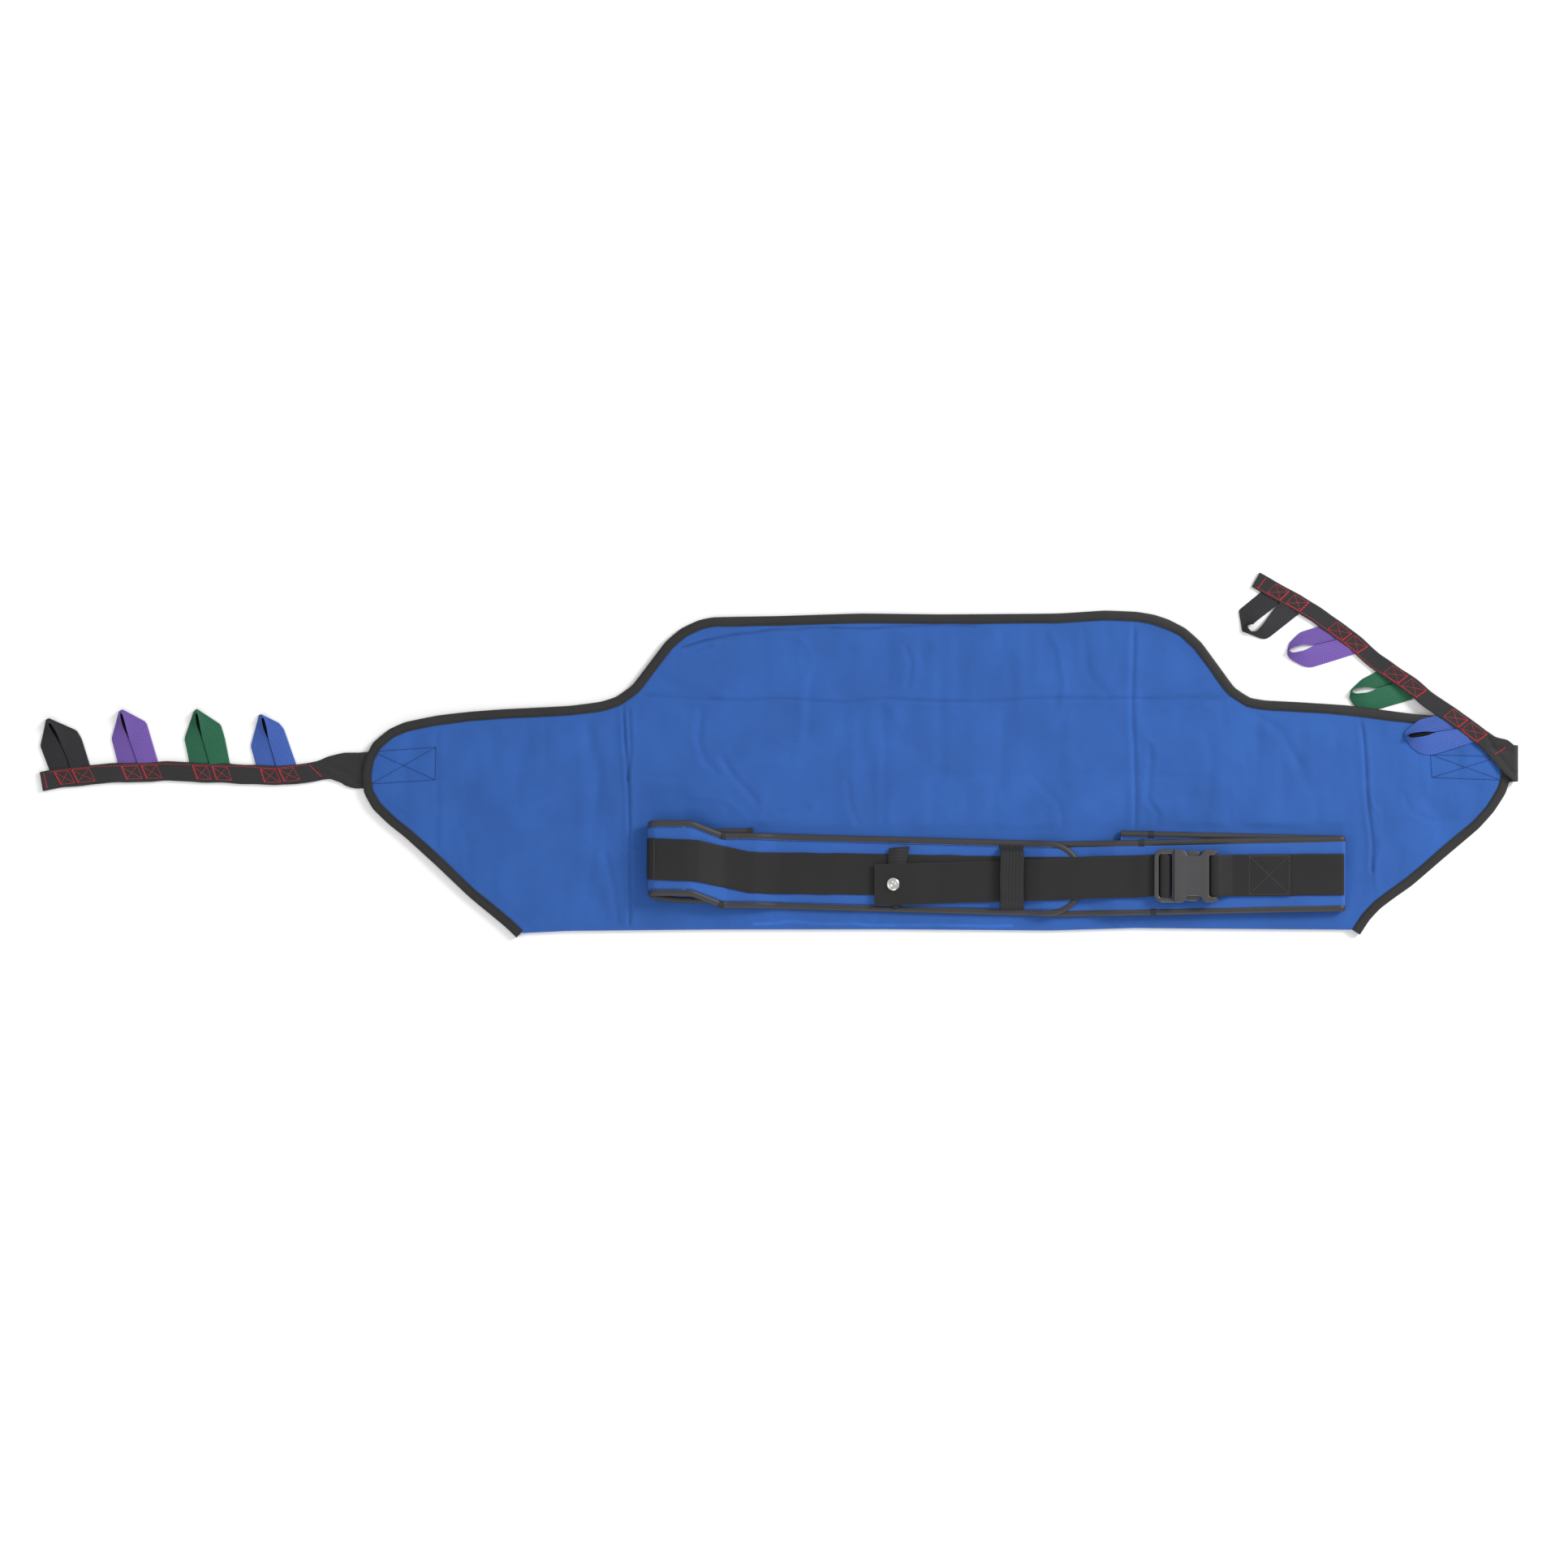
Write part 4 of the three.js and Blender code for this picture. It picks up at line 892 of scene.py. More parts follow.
def stands_for(pieces, node):
    """A belt part's panel and its two pipings stand for the CAD's."""
    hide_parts(node)
    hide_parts(f"{node}_piping_upper")
    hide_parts(f"{node}_piping_lower")


def belt_bend(x, low, high):
    return bending((x, 0, low), (x, 0, high))


sewn, loose = riding("back_panel"), riding("belt_front")
left_bend = belt_bend(-335, LAYER_1, 26)
right_bend = belt_bend(490, LAYER_1, LAYER_2)
# The turns of the belt lie beyond these places.
LEFT_TURN_X, RIGHT_TURN_X = -300, 486
left_root_end = left_belt.where(LEFT_TURN_X)
left_front_start = left_belt.where(LEFT_TURN_X, left_root_end + 20)
left_front_end = left_belt.where(176.5, left_front_start)
stands_for(belt_part("belt_left_sewn", left_belt, 0, left_root_end, sewn, 31), "belt_left_root")
belt_part("belt_left_fold", left_belt, left_root_end, left_front_start, left_bend, 31)
front = belt_part("belt_left_front", left_belt, left_front_start, left_front_end, loose, 31, round_end=True)
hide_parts("belt_left_panel")
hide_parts("belt_left_panel_piping_upper", "belt_left_panel_piping_lower")

right_root_end = right_belt.where(RIGHT_TURN_X)
right_front_start = right_belt.where(RIGHT_TURN_X, right_root_end + 6)
stands_for(belt_part("belt_right_sewn", right_belt, 0, right_root_end, sewn, 32), "belt_right_root")
turned = belt_part("belt_right_turn", right_belt, right_root_end, right_front_start, right_bend, 32)
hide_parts("belt_right_fold")
front = belt_part("belt_right_front", right_belt, right_front_start, right_belt.length, loose, 32)
stands_for(front, "belt_right_panel")

# --- belt webbing

# Rise of the left band over the belt's lower layer.
LEFT_BAND = [
    (-344.6, -105, 8.5), (-342.4, -105, 16.3), (-334, -105, 20.3), (-298, -106, 20.9), (-284, -107, 19.6),
    (-277, -108.4, 17.6), (-252, -114.5, 9.7), (-224, -121, 8.7), (-216, -121.4, 8.3), (-186, -122, 3.1),
    (-150, -122.6, 3), (0, -125, 3), (104, -127, 3), (131, -127.5, 8.3), (180, -127, 8.3), (262, -125, 8.3),
]
left_band = Path([(x, y, LAYER_1 + rise) for x, y, rise in LEFT_BAND], 2.6, Y_SIDE)
band_split = left_band.where(LEFT_TURN_X)


def band_piece(name, path, mount, *nodes, low=0.0, high=None, wave=0.1, seed=41):
    piece = tape(name, path, BAND_WIDTH, WEBBING, BAND, low, high, wave=wave, seed=seed)
    finish_piece(piece, mount, "belt_webbing", *nodes)


band_piece("belt_left_band_fold", left_band, left_bend, high=band_split)
band_piece("belt_left_band_webbing", left_band, loose, "belt_left_band", low=band_split, wave=0.15)
s_mark = left_band.where(-336, 12)
mark = [(s_mark, -24), (s_mark, 24)]
loose(thread("belt_left_band_stitches", on_path(left_band, 0.75), [mark], GREY_THREAD, *MARK_STITCH))

LOAD = LAYER_2 + BAND_RISE
DOUBLED = LOAD + PLY
BAND_BEND_X = 341
BAND_SLOPE = 0.012
RIGHT_BAND = [
    (493.5, LOAD - 0.9), (490.4, LOAD), (430, LOAD), (352, LOAD), (340, BUCKLE_MID - 4.5),
    (334.2, BUCKLE_MID - 4.4), (331.2, BUCKLE_MID - 2.8), (331, BUCKLE_MID), (331.4, BUCKLE_MID + 2.6),
    (334.5, BUCKLE_MID + 4.6), (341.5, BUCKLE_MID + 4.6), (349, BUCKLE_MID + 0.3), (356, DOUBLED + 1),
    (362, DOUBLED), (430, DOUBLED),
]


def band_y(x):
    return BELT_Y + (x - BAND_BEND_X) * BAND_SLOPE


right_band = Path([(x, band_y(x), z) for x, z in RIGHT_BAND], 1.6, Y_SIDE)
band_piece("belt_right_band_webbing", right_band, loose, "belt_right_band", wave=0.05, seed=42)
on_right_band = lambda x, v: facing_up(x, v + band_y(x), DOUBLED + WEBBING / 2)
box = crossed_box(379, 427, -23, 23)
loose(thread("belt_right_band_stitches", on_right_band, box, GREY_THREAD, *BAND_STITCH))

TAIL = [
    (254, -125, DOUBLED), (270, -125, DOUBLED), (281, -125, DOUBLED + 0.1), (283.8, -125, DOUBLED + 1.6),
    (284.2, -125, BUCKLE_MID - 2), (284, -125, BUCKLE_MID + 0.1), (281.6, -125, BUCKLE_MID + 1.6),
    (277, -125, BUCKLE_MID + 1.9), (273.6, -125, BUCKLE_MID + 1.7), (271.7, -125, BUCKLE_MID + 0.5),
    (271.5, -125, BUCKLE_MID - 1.1), (271.3, -125, BUCKLE_MID - 2.4), (269, -125, DOUBLED + PLY + 0.05),
    (262, -125, DOUBLED + PLY), (250, -126, DOUBLED + PLY), (236, -126.6, DOUBLED + 0.6),
    (200, -127.5, DOUBLED), (129, -129.7, DOUBLED + 0.1), (102, -130.6, TAIL_LOW + 0.2), (90, -131, TAIL_LOW),
    (TAIL_HINGE_X, -131.6, TAIL_LOW), (40, -132.4, TAIL_LOW), (8, -133.4, TAIL_LOW + 0.1),
    (-24, -134.4, TAIL_RAISED), (-50, -135.2, TAIL_RAISED), (-71.5, -136, TAIL_RAISED),
]
bend_tail = bending((TAIL_HINGE_X + 0.5, 0, 14.5), (TAIL_HINGE_X - 15, 0, 14.5))
tail = Path(TAIL, 2.0, Y_SIDE)
band_piece("belt_tail_webbing", tail, bend_tail, "belt_tail", "tail_end", wave=0.12, seed=43)


def plate(name, outline, low, high, material, edge_round=0.35):
    """Flat piece cut to an outline, with its edges eased."""
    pts = np.array(outline, float)
    centre = pts.mean(axis=0)
    rings = []
    for inset, z in ((1.0, low), (0, low + edge_round), (0, high - edge_round), (1.0, high)):
        shrunk = pts + unit(centre - pts) * inset
        rings.append(np.column_stack([shrunk, np.full(len(pts), z)]))
    rings = np.array(rings)
    return skin(name, rings, rings[..., :2], material, 40)


TAG = [(-29, -89.5), (-41, -90.6), (-54, -92), (-55.5, -112), (-57, -140), (-58, -158), (-51, -161.6),
       (-43, -165), (-38, -140), (-34, -115)]
on_tail = riding("tail_end")
tag_mid = TAIL_RAISED - PLY
tag = plate("tail_tag_webbing", TAG, tag_mid - WEBBING / 2, tag_mid + WEBBING / 2, KEEPER)
finish_piece(tag, on_tail, "belt_webbing", "tail_tag")


def lathe(name, profile, centre, material, base, sides=48):
    """Turned piece. Its profile gives radius and height over the base."""
    x, y = centre
    rings = np.array([[(x + r * math.cos(a), y + r * math.sin(a), base + z) for a in around(sides)]
                      for r, z in profile])
    return skin(name, rings, rings[..., :2], material, 35)


CAP_PROFILE = [
    (0.3, -3.6), (2, -3.6), (2, 0), (7.2, 0), (7.8, 0.35), (7.8, 0.8), (7.3, 1.5), (6.3, 2.1), (5.2, 2.5),
    (4.4, 2.6), (3.6, 2.5), (2.8, 2.15), (2.4, 1.75), (1.8, 1.6), (0.8, 1.55), (0.2, 1.55),
]
BASE_PROFILE = [(0.2, 0), (5.1, 0), (5.5, 0.12), (5.5, 0.35), (5.2, 0.45), (0.2, 0.45)]
for name, profile, base in (("rivet_cap", CAP_PROFILE, TAIL_RAISED + WEBBING / 2 + 0.2),
                            ("rivet_base", BASE_PROFILE, tag_mid - WEBBING / 2 - 0.75)):
    finish_piece(lathe(f"{name}_nickel", profile, RIVET, NICKEL, base), on_tail, "rivet_metal", name)

# Keeper: ribbed webbing bridging the belt, its ends tucked under the piping.
KEEPER_X, KEEPER_Y = 93.7, -127.6
keep_high = LAYER_2 + 6.6
half_bridge = [(40.6, LAYER_1 + 1.4), (38.2, LAYER_1 + 1.9), (36.4, LAYER_1 + 3.4), (33.8, LAYER_1 + 7),
               (31, keep_high - 1.2), (26, keep_high), (0, keep_high + 0.3)]
bridge = half_bridge + [(-y, z) for y, z in half_bridge[-2::-1]]
keeper = Path([(KEEPER_X, KEEPER_Y + y, z) for y, z in bridge], 1.8, (1, 0, 0))
keeper_band = tape("belt_keeper_webbing", keeper, 28.4, 1.6, KEEPER, wave=0.1, seed=44)
finish_piece(keeper_band, loose, "belt_webbing", "belt_keeper")

# --- buckle


def cornered(points, radius, steps=6):
    """Outline with its corners turned on a curve. A point's third number is its own radius."""
    out = []
    count = len(points)
    for i, point in enumerate(points):
        here = np.array(point[:2], float)
        reach = point[2] if len(point) > 2 else radius
        ends = []
        for other in (points[i - 1], points[(i + 1) % count]):
            step = np.array(other[:2], float) - here
            distance = np.linalg.norm(step)
            ends.append(here + step / distance * min(reach, distance * 0.48))
        for t in np.linspace(0, 1, steps + 1):
            out.append(ends[0] * (1 - t) ** 2 + here * 2 * t * (1 - t) + ends[1] * t * t)
    return np.array(out)


def on_belt(outline, sign=1):
    """Outline about the belt's middle line, or its mirror image."""
    return np.array(outline, float) * [1, sign] + [0, BELT_Y]


def slab(outline, low, high, ease=0.5, top_ease=None, sign=1):
    """Rings of a flat part of the buckle, between heights about its middle, its edges eased or chamfered."""
    top_ease = ease if top_ease is None else top_ease
    pts = on_belt(outline, sign)
    x, y = pts[:, 0], pts[:, 1]
    turn = 1 if np.sum(x * np.roll(y, -1) - np.roll(x, -1) * y) > 0 else -1
    inner = leftward(unit(np.roll(pts, -1, axis=0) - np.roll(pts, 1, axis=0))) * turn
    rows = [(ease, low), (ease * 0.3, low + ease * 0.35), (0, low + ease), (0, high - top_ease)]
    chamfer = ((0.25, 0.5), (0.8, 0.1), (1.1, 0))
    rows += [(top_ease * inset, high - top_ease * drop) for inset, drop in chamfer]
    rings = [np.column_stack([pts + inner * inset, np.full(len(pts), BUCKLE_MID + z)]) for inset, z in rows]
    return np.array(rings)


def bar(points, wide, tall, squareness=2.6, sides=16):
    """Rings of a moulded bar along points, with an oval section."""
    pts = np.array(points, float)
    across = leftward(unit(np.gradient(pts, axis=0)))
    turn = around(sides)
    c, q = np.cos(turn), np.sin(turn)
    c = np.sign(c) * np.abs(c) ** (2 / squareness) * wide
    q = np.sign(q) * np.abs(q) ** (2 / squareness) * tall
    return pts[:, None] + across[:, None] * c[None, :, None] + UP * q[None, :, None]


def crossbar(x, z, half, wide, tall):
    return bar([(x, BELT_Y + y, z) for y in np.linspace(-half, half, 12)], wide, tall)


def finish_moulding(node, parts, body):
    finish_piece(moulding(f"{node}_moulding", parts, PLASTIC), riding(body), "buckle_plastic", node)


# Heights above and below the buckle's middle.
PLATE_INNER, PLATE_OUTER = 4.2, 6.4
WALL_HEIGHT, ARM_HEIGHT = 4.3, 2.9
SHOULDER_HEIGHT, TONGUE_HEIGHT, PRONG_HEIGHT = 2.1, 1.9, 2.15

PLATE_HALF = [(288, 31.8, 2), (299.6, 31.8, 3), (303.6, 24.2, 3), (319.6, 24.2, 3), (324.3, 31.6, 3),
              (333.2, 31.6, 4), (339.2, 30, 2.6), (338, 25, 2.6), (330, 25, 3)]
plate_outline = cornered(PLATE_HALF + [(x, -y, r) for x, y, r in PLATE_HALF[::-1]], 2)
mouth_wall = cornered([(288, 31.6, 1), (299.2, 31.6, 2), (301, 28.4, 1), (288, 28.2, 0.5)], 1, 4)
end_wall = cornered([(324.8, -31), (332, -31), (332, -26.4), (328.4, -26.2), (328.4, 26.2), (332, 26.4),
                     (332, 31), (324.8, 31)], 1, 4)
side_arm = cornered([(330, 26.4), (341, 26.4), (341, 30.4), (330, 31.2)], 1.6, 4)
shell_parts = [
    slab(plate_outline, PLATE_INNER, PLATE_OUTER, 0.3, 0.75),
    slab(plate_outline, -PLATE_OUTER, -PLATE_INNER, 0.6, 0.3),
    slab(end_wall, -WALL_HEIGHT, WALL_HEIGHT, 0.1),
]
for sign in (1, -1):
    shell_parts.append(slab(mouth_wall, -WALL_HEIGHT, WALL_HEIGHT, 0.1, sign=sign))
    shell_parts.append(slab(side_arm, -ARM_HEIGHT, ARM_HEIGHT, 0.6, sign=sign))
shell_parts.append(crossbar(337.5, BUCKLE_MID, 27.5, 3.1, 2.8))
finish_moulding("buckle_female", shell_parts, "belt_front")

frame_line = cornered([(288.5, 29.2, 0.1), (267.1, 29.2, 8), (267.1, -29.2, 8), (288.5, -29.2, 0.1)], 4, 10)
frame_line = frame_line[10:-10]
frame_line = np.column_stack([on_belt(frame_line), np.full(len(frame_line), BUCKLE_MID)])
shoulder = cornered([(285.9, -26.9), (290.8, -26.9), (290.8, 26.9), (285.9, 26.9)], 0.8, 3)
tongue = cornered([(290.5, -7), (312, -5.6, 3), (312, 5.6, 3), (290.5, 7)], 0.6, 4)
finish_moulding("buckle_male", [
    bar(frame_line, 2.9, 2.5),
    crossbar(277.5, BUCKLE_MID - 0.9, 27.2, 4.2, 1.1),
    slab(shoulder, -SHOULDER_HEIGHT, SHOULDER_HEIGHT, 0.5),
    slab(tongue, -TONGUE_HEIGHT, TONGUE_HEIGHT, 0.5),
], "buckle_male")

PRONG = [(291, 17.5, 0.5), (308, 17.5, 3), (321.3, 20, 1.5), (320.4, 25.2, 3), (316.4, 30.6, 4),
         (308, 30.4, 4), (301, 29.4, 3), (291, 24.5, 1)]
for sign, node in ((1, "buckle_prong_upper"), (-1, "buckle_prong_lower")):
    prong = slab(cornered(PRONG, 2), -PRONG_HEIGHT, PRONG_HEIGHT, 0.7, sign=sign)
    finish_moulding(node, [prong], node)

# --- lifting straps

STRAP_WIDTH = 23.5
STRAP_THICK = 3.2
SEWN_IN = 3.1
LEFT_STRAP = [(x, y, FLOOR_MID) for x, y in (
    (-1076.5, -11.2), (-1050, -7), (-1009, -2.9), (-931, 0.5), (-833, -2.9), (-794, -4.9), (-760, -1.2),
    (-748, 0.8), (-728, 4.7), (-711, 4.6))]
LEFT_STRAP += [
    (-694.6, 1.8, FLOOR_MID + 0.3), (-680, 2.2, SEWN_IN), (-640, 2.5, SEWN_IN), (-602, 2.5, SEWN_IN)]
left_strap = Path(LEFT_STRAP, 2.6)
open_low, open_high = left_strap.where(-743), left_strap.where(-694)


def opened(low, high, before, after):
    """A size that changes where the doubled webbing opens or closes, as a function of distance."""
    return lambda s: before + (after - before) * float(smooth(low, high, s))


def pleats(lines, depth, width):
    """Folds that fan out where doubled webbing opens flat."""
    fans = [np.array(line, float) for line in lines]
    fold = lambda fan, s, across: np.exp(-((distance_to(fan, s, across) / width) ** 2))
    return lambda s, across: -depth * sum(fold(fan, s, across) for fan in fans)


left_width = opened(open_low, open_high, STRAP_WIDTH, STRAP_WIDTH + 20)
left_thick = opened(open_low, open_high, STRAP_THICK, STRAP_THICK - 1.4)
left_fan = pleats([
    [(open_low - 8, 9), (open_low + 16, 1), (open_high + 6, -14)], [(open_low - 6, 3), (open_low + 10, -5)],
    [(open_low + 2, 11), (open_high - 10, 10)],
], 1.1, 2.3)
piece = tape("left_strap_webbing", left_strap, left_width, left_thick, STRAP, wave=0.2, seed=51, slit=True,
             sway=0.9, relief=left_fan)
bend_strap_left = bending((-682, 2.9, 3.4), (-708, 2.9, 3.4))
finish_piece(piece, bend_strap_left, "strap_webbing", "left_strap", "left_strap_anchor")

CREASE_X, CREASE_Y = 699.5, 10
CREASE_RADIUS = 4.5
CREASE_MID = 6.6
OVER_WING = 9.1
crease_turn = [(CREASE_X + CREASE_RADIUS * math.cos(a), CREASE_Y, CREASE_MID + CREASE_RADIUS * math.sin(a))
               for a in (math.radians(d) for d in (-80, -50, -20, 10, 40, 70))]
RIGHT_STRAP = [(604, 2.5, SEWN_IN), (650, 4, SEWN_IN), (688, 8, 2.9)] + crease_turn + [
    (699.2, 10, 11.1), (682, 24.5, OVER_WING + 0.6), (652.7, 47, OVER_WING), (623, 69, OVER_WING),
    (598, 86, OVER_WING - 0.4), (566, 111, 5.6)]
RIGHT_STRAP += [(x, y, FLOOR_MID) for x, y in (
    (534, 133), (510, 154), (460, 192), (425.8, 211.2), (389, 231.8))]
probe = Path(RIGHT_STRAP, 1.6)
crease_s = probe.s[int(np.argmax(probe.p[:, 0]))] + 7
closed_s = crease_s + 46


def right_side(s, level):
    square = 1 - smooth(crease_s, closed_s, s)[:, None]
    return level * (1 - square) + np.array([0, -1.0, 0]) * square


right_strap = Path(RIGHT_STRAP, 1.6, right_side)
right_sizes = opened(crease_s, closed_s, 44, 20), opened(crease_s, closed_s, STRAP_THICK - 1.6, STRAP_THICK)
strap_split = right_strap.where(640, crease_s)
right_fan = pleats([
    [(crease_s - 2, 14), (crease_s + 44, -4)], [(crease_s + 4, -12), (crease_s + 36, 3)],
], 1.0, 2.3)
bend_strap = bending((699.5, 10, 4.2), (699.5, 10, 7.4))
bend_strap_end = bending((580, 111, 7.6), (552, 111, 7.6))
piece = tape("right_strap_turned_webbing", right_strap, *right_sizes, STRAP, 0, strap_split, wave=0.1, seed=52,
             slit=True, relief=right_fan)
finish_piece(piece, bend_strap, "strap_webbing", "right_strap_turn", "right_strap_anchor", "right_strap")
piece = tape("right_strap_outer_webbing", right_strap, *right_sizes, STRAP, strap_split, wave=0.2, seed=52,
             slit=True, sway=0.8)
finish_piece(piece, bend_strap_end, "strap_webbing", "right_strap_end")

# --- loops

# Each loop: outer line from the strap round the tip and back, its slit from the tip end to the strap, half the
# slit's gap, and where along the slit it opens.
LOOP_SHAPES = {
    "left_loop_black": (
        [(-1067, 2), (-1078, 31), (-1071, 63), (-1068, 65), (-1034, 50), (-1028, 40), (-1018, 8)],
        [(-1067, 60), (-1058, 44), (-1046, 18), (-1042, 5)], 1.9, (0.45, 0.8)),
    "left_loop_purple": (
        [(-984, 9), (-992, 40), (-983, 73), (-979, 75.5), (-950, 60), (-944, 40), (-935, 9)],
        [(-980, 72), (-975, 52), (-960, 9)], 1.9, (0.45, 0.8)),
    "left_loop_green": (
        [(-898, 11), (-904, 40), (-893, 73), (-889, 76), (-860, 57), (-855, 40), (-849, 9)],
        [(-889, 72), (-886, 53), (-874, 11)], 1.9, (0.45, 0.8)),
    "left_loop_blue": (
        [(-817, 6), (-824, 31), (-814, 69), (-811, 69.5), (-790, 59), (-784, 52), (-769, 9)],
        [(-809.5, 67), (-804.5, 46), (-793, 6)], 2.0, (0.5, 0.8)),
    "right_loop_black": (
        [(396, 217.5), (368.5, 195), (372.5, 169.5), (397, 160), (404, 161), (442, 191)],
        [(380, 180), (387, 173.5), (417.5, 204)], 4.6, (0.04, 0.85)),
    "right_loop_purple": (
        [(465.5, 175.5), (443, 168.5), (430, 156), (426.5, 143), (430.5, 136), (446, 127.5), (458, 126.5),
         (508, 142)],
        [(429, 146), (455.5, 152), (484, 158.8)], 3.5, (0.42, 0.72)),
    "right_loop_green": (
        [(534, 120.5), (517.5, 112), (504, 99), (502, 89), (508.5, 79.5), (522.5, 73.5), (536, 75.5),
         (577, 87)],
        [(504.5, 97), (531, 100), (558.5, 107.8)], 3.2, (0.42, 0.72)),
    "right_loop_blue": (
        [(607.5, 68.5), (585, 62.5), (568.5, 49), (567.5, 43), (576, 29.5), (588, 21.5), (602.5, 20.5),
         (648.5, 35)],
        [(570.5, 43), (593, 46), (632, 52)], 2.8, (0.4, 0.72)),
}
# How far a loop's ends reach in under the strap's edge.
TUCK = 2.5
# Heights that the loops lie at.
ON_FLOOR, ON_WING = 0.3, 7.7


def along_line(line, t):
    reach = run_of(line)
    return sample(t * reach[-1], reach, line)


def loop_piece(name, colour, low, soft):
    """One strip of webbing up one leg, folded over at the tip and down the other, with the slit between."""
    outer, slit, opening, opens = LOOP_SHAPES[name]
    fine = rounded(outer, 10) if soft else np.array(outer, float)
    slit_line = rounded(slit, 10)
    fine[0] -= unit(fine[1] - fine[0]) * TUCK
    fine[-1] += unit(fine[-1] - fine[-2]) * TUCK
    slit_line[-1] += unit(slit_line[-1] - slit_line[-2]) * TUCK
    tip = int(np.argmin(np.linalg.norm(fine - slit_line[0], axis=1)))
    first, second = fine[:tip + 1], fine[tip:]
    steps = np.linspace(0, 1, 22)
    seam = along_line(slit_line[::-1], steps)
    gap = opening * smooth(opens[0], opens[1], steps) * (1 - 0.35 * smooth(0.88, 1, steps))
    aside = leftward(unit(np.gradient(seam, axis=0)))
    leg_a = along_line(first, steps)
    leg_b = along_line(second, 1 - steps)
    toward_a = np.sign(np.sum((leg_a[8] - seam[8]) * aside[8]))
    in_a = seam + aside * (gap * toward_a)[:, None]
    in_b = seam - aside * (gap * toward_a)[:, None]
    outer_row = np.concatenate([leg_a, leg_b[::-1][1:]])
    inner_row = np.concatenate([in_a[:-1], [seam[-1]], in_b[::-1][1:]])
    t = np.concatenate([steps, (2 - steps[::-1])[1:]])
    tipness = 1 - np.abs(t - 1)
    rise = 5.0 * smooth(0.35, 0.95, tipness)
    order = 1.3 * smooth(0.9, 1.15, t)
    thick = 1.5 + 0.9 * smooth(0.8, 1.0, tipness)
    c, h = (np.array([row[k] for row in SECTION]) for k in (0, 1))
    f = (c + 1) / 2
    flat = outer_row[:, None] + (inner_row - outer_row)[:, None] * f[:, None]
    thick, rise, order = thick[:, None], rise[:, None], order[:, None]
    z = low + thick / 2 + rise * f ** 2 + order * f + 0.5 * np.sin(math.pi * f) + h * thick / 2
    z = z + 0.25 * field(flat[..., 0], flat[..., 1], 16, 61)
    rings = np.concatenate([flat, z[..., None]], axis=-1)
    uv = np.stack(np.broadcast_arrays((t * 66)[:, None], f * 24), axis=-1)
    return skin(name + "_webbing", rings, uv, LOOPS[colour], 45)


def inner_turn(name, low):
    """Dark sheet of painted shade under the slit, where the far side of the folded webbing lies."""
    slit, opening = LOOP_SHAPES[name][1:3]
    steps = np.linspace(0.03, 0.62, 9)
    middle = along_line(rounded(slit, 10), steps)
    aside = leftward(unit(np.gradient(middle, axis=0)))
    reach = (opening + 1.6) * np.sqrt(np.clip(1 - ((steps - 0.3) / 0.34) ** 2, 0.04, 1))
    rings = []
    for c, h in ((-1, 0), (-0.7, 1), (0, 1), (0.7, 1), (1, 0), (0.7, -1), (0, -1), (-0.7, -1)):
        flat = middle + aside * (reach * c)[:, None]
        rings.append(np.column_stack([flat, np.full(len(steps), low + 0.8 + 0.5 * h)]))
    rings = np.stack(rings, axis=1)
    return skin(name + "_inner_turn", rings, rings[..., :2], PAINTED_SHADE_WEBBING)


for name in LOOP_SHAPES:
    colour = name.split("_")[-1]
    low = ON_WING if name == "right_loop_blue" else ON_FLOOR
    soft = name.startswith("right") and colour != "black"
    finish_piece(loop_piece(name, colour, low, soft), riding(name), f"loop_{colour}", name)
    if name.startswith("left") or name == "right_loop_blue":
        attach(inner_turn(name, low), name)

# --- red stitching on the straps


def twice(start, end, shift=(0.6, 0)):
    """A stitch line sewn over twice."""
    return [[start, end], [(s + shift[0], v + shift[1]) for s, v in (start, end)]]


def strap_box(a, b, half, slant):
    """A slanted box with both diagonals, its first end sewn over twice."""
    ends = twice((a + 0.5, -half), (a + 0.5 + slant, half), (0.6, 0.7))
    return crossed_box(a, b, -half, half, slant) + ends


RED_SIZES = {"pitch": 2.3, "dash": 1.5, "radius": 0.27, "sink": 0.04}
left_s = left_strap.where
HALF = 7.8
lines = []
for a, b in ((-1057, -1040), (-1036, -1015), (-977, -957.5), (-953, -934), (-891.5, -874), (-868, -849.5),
             (-810, -791), (-787, -768.5)):
    lines += strap_box(left_s(a) + 3, left_s(b) + 3, HALF, -6)
lines += twice((left_s(-1071), -9.5), (left_s(-1072.5), 9.5))
lines += twice((left_s(-752), HALF + 1), (left_s(-740), -HALF - 1))
lines.append([(left_s(-1066), HALF + 1.4), (left_s(-755), HALF + 1.4)])
left_face = on_path(left_strap, STRAP_THICK / 2)
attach(thread("left_strap_red_stitches", left_face, lines, RED_THREAD, **RED_SIZES), "left_strap")


def right_s(x):
    return right_strap.where(x, crease_s)


def right_boxes(*spans):
    return sum((strap_box(right_s(a) - 2, right_s(b) - 2, RIGHT_HALF, 4) for a, b in spans), [])


def on_tape(path, x, y, first):
    """Distance along and across a tape at x, y."""
    s = path.s[path.s > first]
    gap = np.array([x, y, 0]) - path.at(s) * [1, 1, 0]
    i = int(np.argmin(np.linalg.norm(gap, axis=1)))
    side = path.side[len(path.s) - len(s) + i]
    return s[i], float(np.dot(gap[i], side))


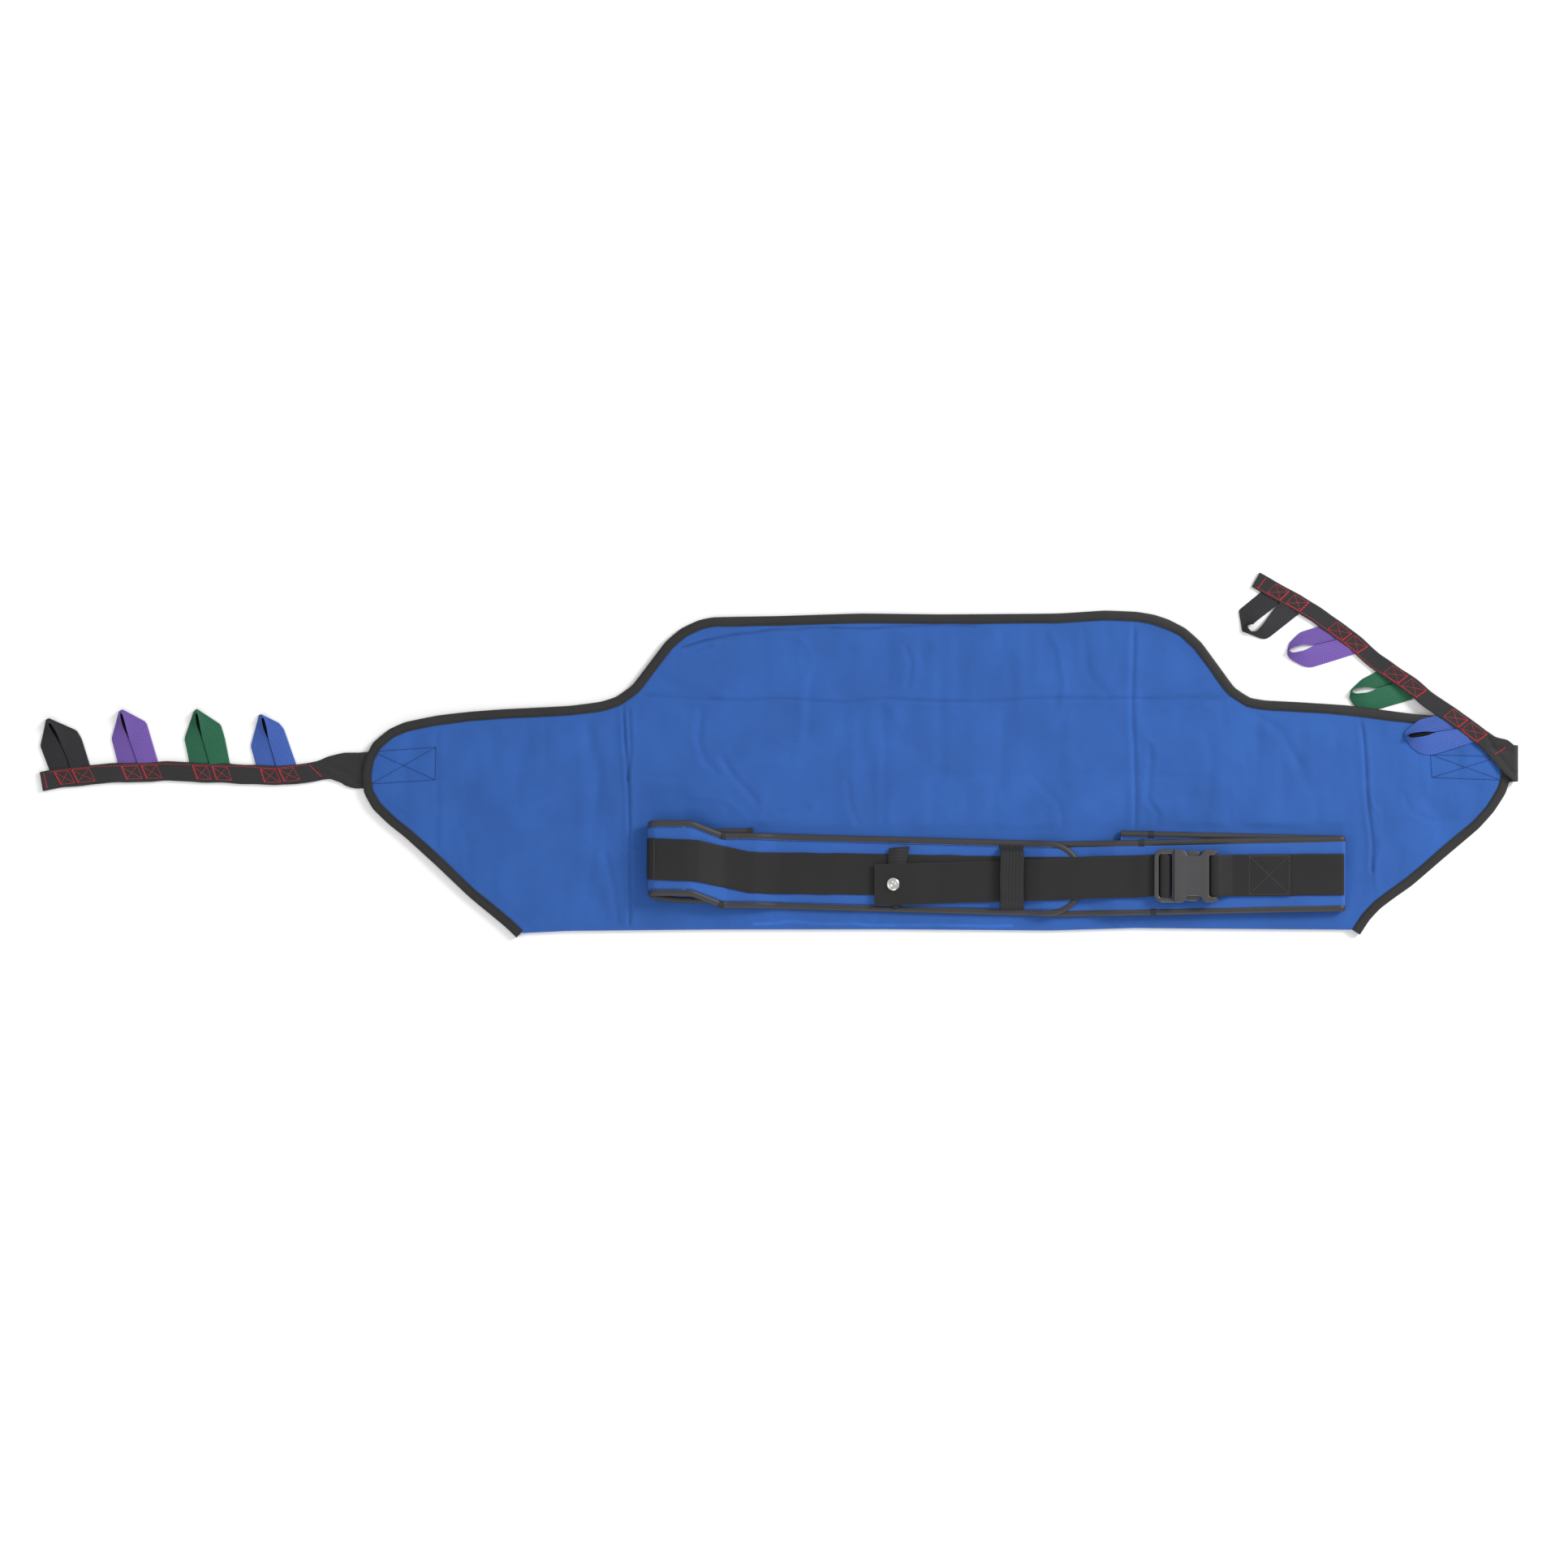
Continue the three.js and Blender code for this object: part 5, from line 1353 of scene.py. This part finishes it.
RIGHT_HALF = 7
inner_lines = right_boxes((638, 620), (661, 641.5))
inner_lines.append([(right_s(660), RIGHT_HALF + 1), (right_s(641), RIGHT_HALF + 1)])
inner_lines += twice(on_tape(right_strap, 673.5, 21.5, crease_s), on_tape(right_strap, 694, 28.5, crease_s))
outer_lines = right_boxes((566, 548), (588, 570), (499, 481), (518, 502), (424, 407.5), (448, 430.5))
outer_lines += twice((right_s(397.5), -8), (right_s(395.5), 8))
outer_lines.append([(right_s(580), RIGHT_HALF + 1), (right_s(392), RIGHT_HALF + 1)])
right_face = on_path(right_strap, STRAP_THICK / 2)
piece = thread("right_strap_red_stitches_inner", right_face, inner_lines, RED_THREAD, **RED_SIZES)
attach(piece, "right_strap")
bend_strap_end(thread("right_strap_red_stitches_outer", right_face, outer_lines, RED_THREAD, **RED_SIZES))

# --- floor, light and camera

FLOOR_HALF = 6
corners = [(x * FLOOR_HALF, y * FLOOR_HALF, 0) for x, y in ((-1, -1), (1, -1), (1, 1), (-1, 1))]
floor_mesh = bpy.data.meshes.new("floor")
floor_mesh.from_pydata(corners, [], [(0, 1, 2, 3)])
floor = add_object("floor", floor_mesh)
g = Graph("pale_floor", Roughness=0.9)
cloudy = g.noise(g.node("ShaderNodeTexCoord").outputs["Object"], 3)
g.tint((0.98, 0.98, 0.98), g.calc("MULTIPLY_ADD", cloudy, 0.01, 0.99))
floor_mesh.materials.append(g.material)

world = bpy.data.worlds.new("studio")
world.use_nodes = True
sky = world.node_tree.nodes["Background"]
sky.inputs["Color"].default_value = (1, 1, 1, 1)
sky.inputs["Strength"].default_value = 0.66
bpy.context.scene.world = world


def lamp(name, place, aim, size, power):
    data = bpy.data.lights.new(name, "AREA")
    data.size = size
    data.energy = power
    light = add_object(name, data)
    light.location = place
    light.rotation_euler = (Vector(aim) - Vector(place)).to_track_quat("-Z", "Y").to_euler()


lamp("key_light", (3.2, 1.9, 2.1), (0, 0, 0), 1.3, 150)
lamp("fill_light", (-2.4, -1.2, 2.8), (0, 0, 0), 2.4, 18)
lamp("edge_light", (0.6, -3.4, 1.1), (0.1, 0, 0), 1.2, 34)

# The camera looks straight down. In metres: the width it sees, its height and its place.
SPAN = 1.893
HEIGHT = 5.0
CAMERA_X, CAMERA_Y = -0.1803, -0.0147
SENSOR = 36
camera_data = bpy.data.cameras.new("camera")
camera_data.sensor_width = SENSOR
camera_data.lens = SENSOR * HEIGHT / SPAN
camera = add_object("camera", camera_data)
camera.location = (CAMERA_X, CAMERA_Y, HEIGHT)
bpy.context.scene.camera = camera
bpy.context.scene.view_settings.view_transform = "Standard"
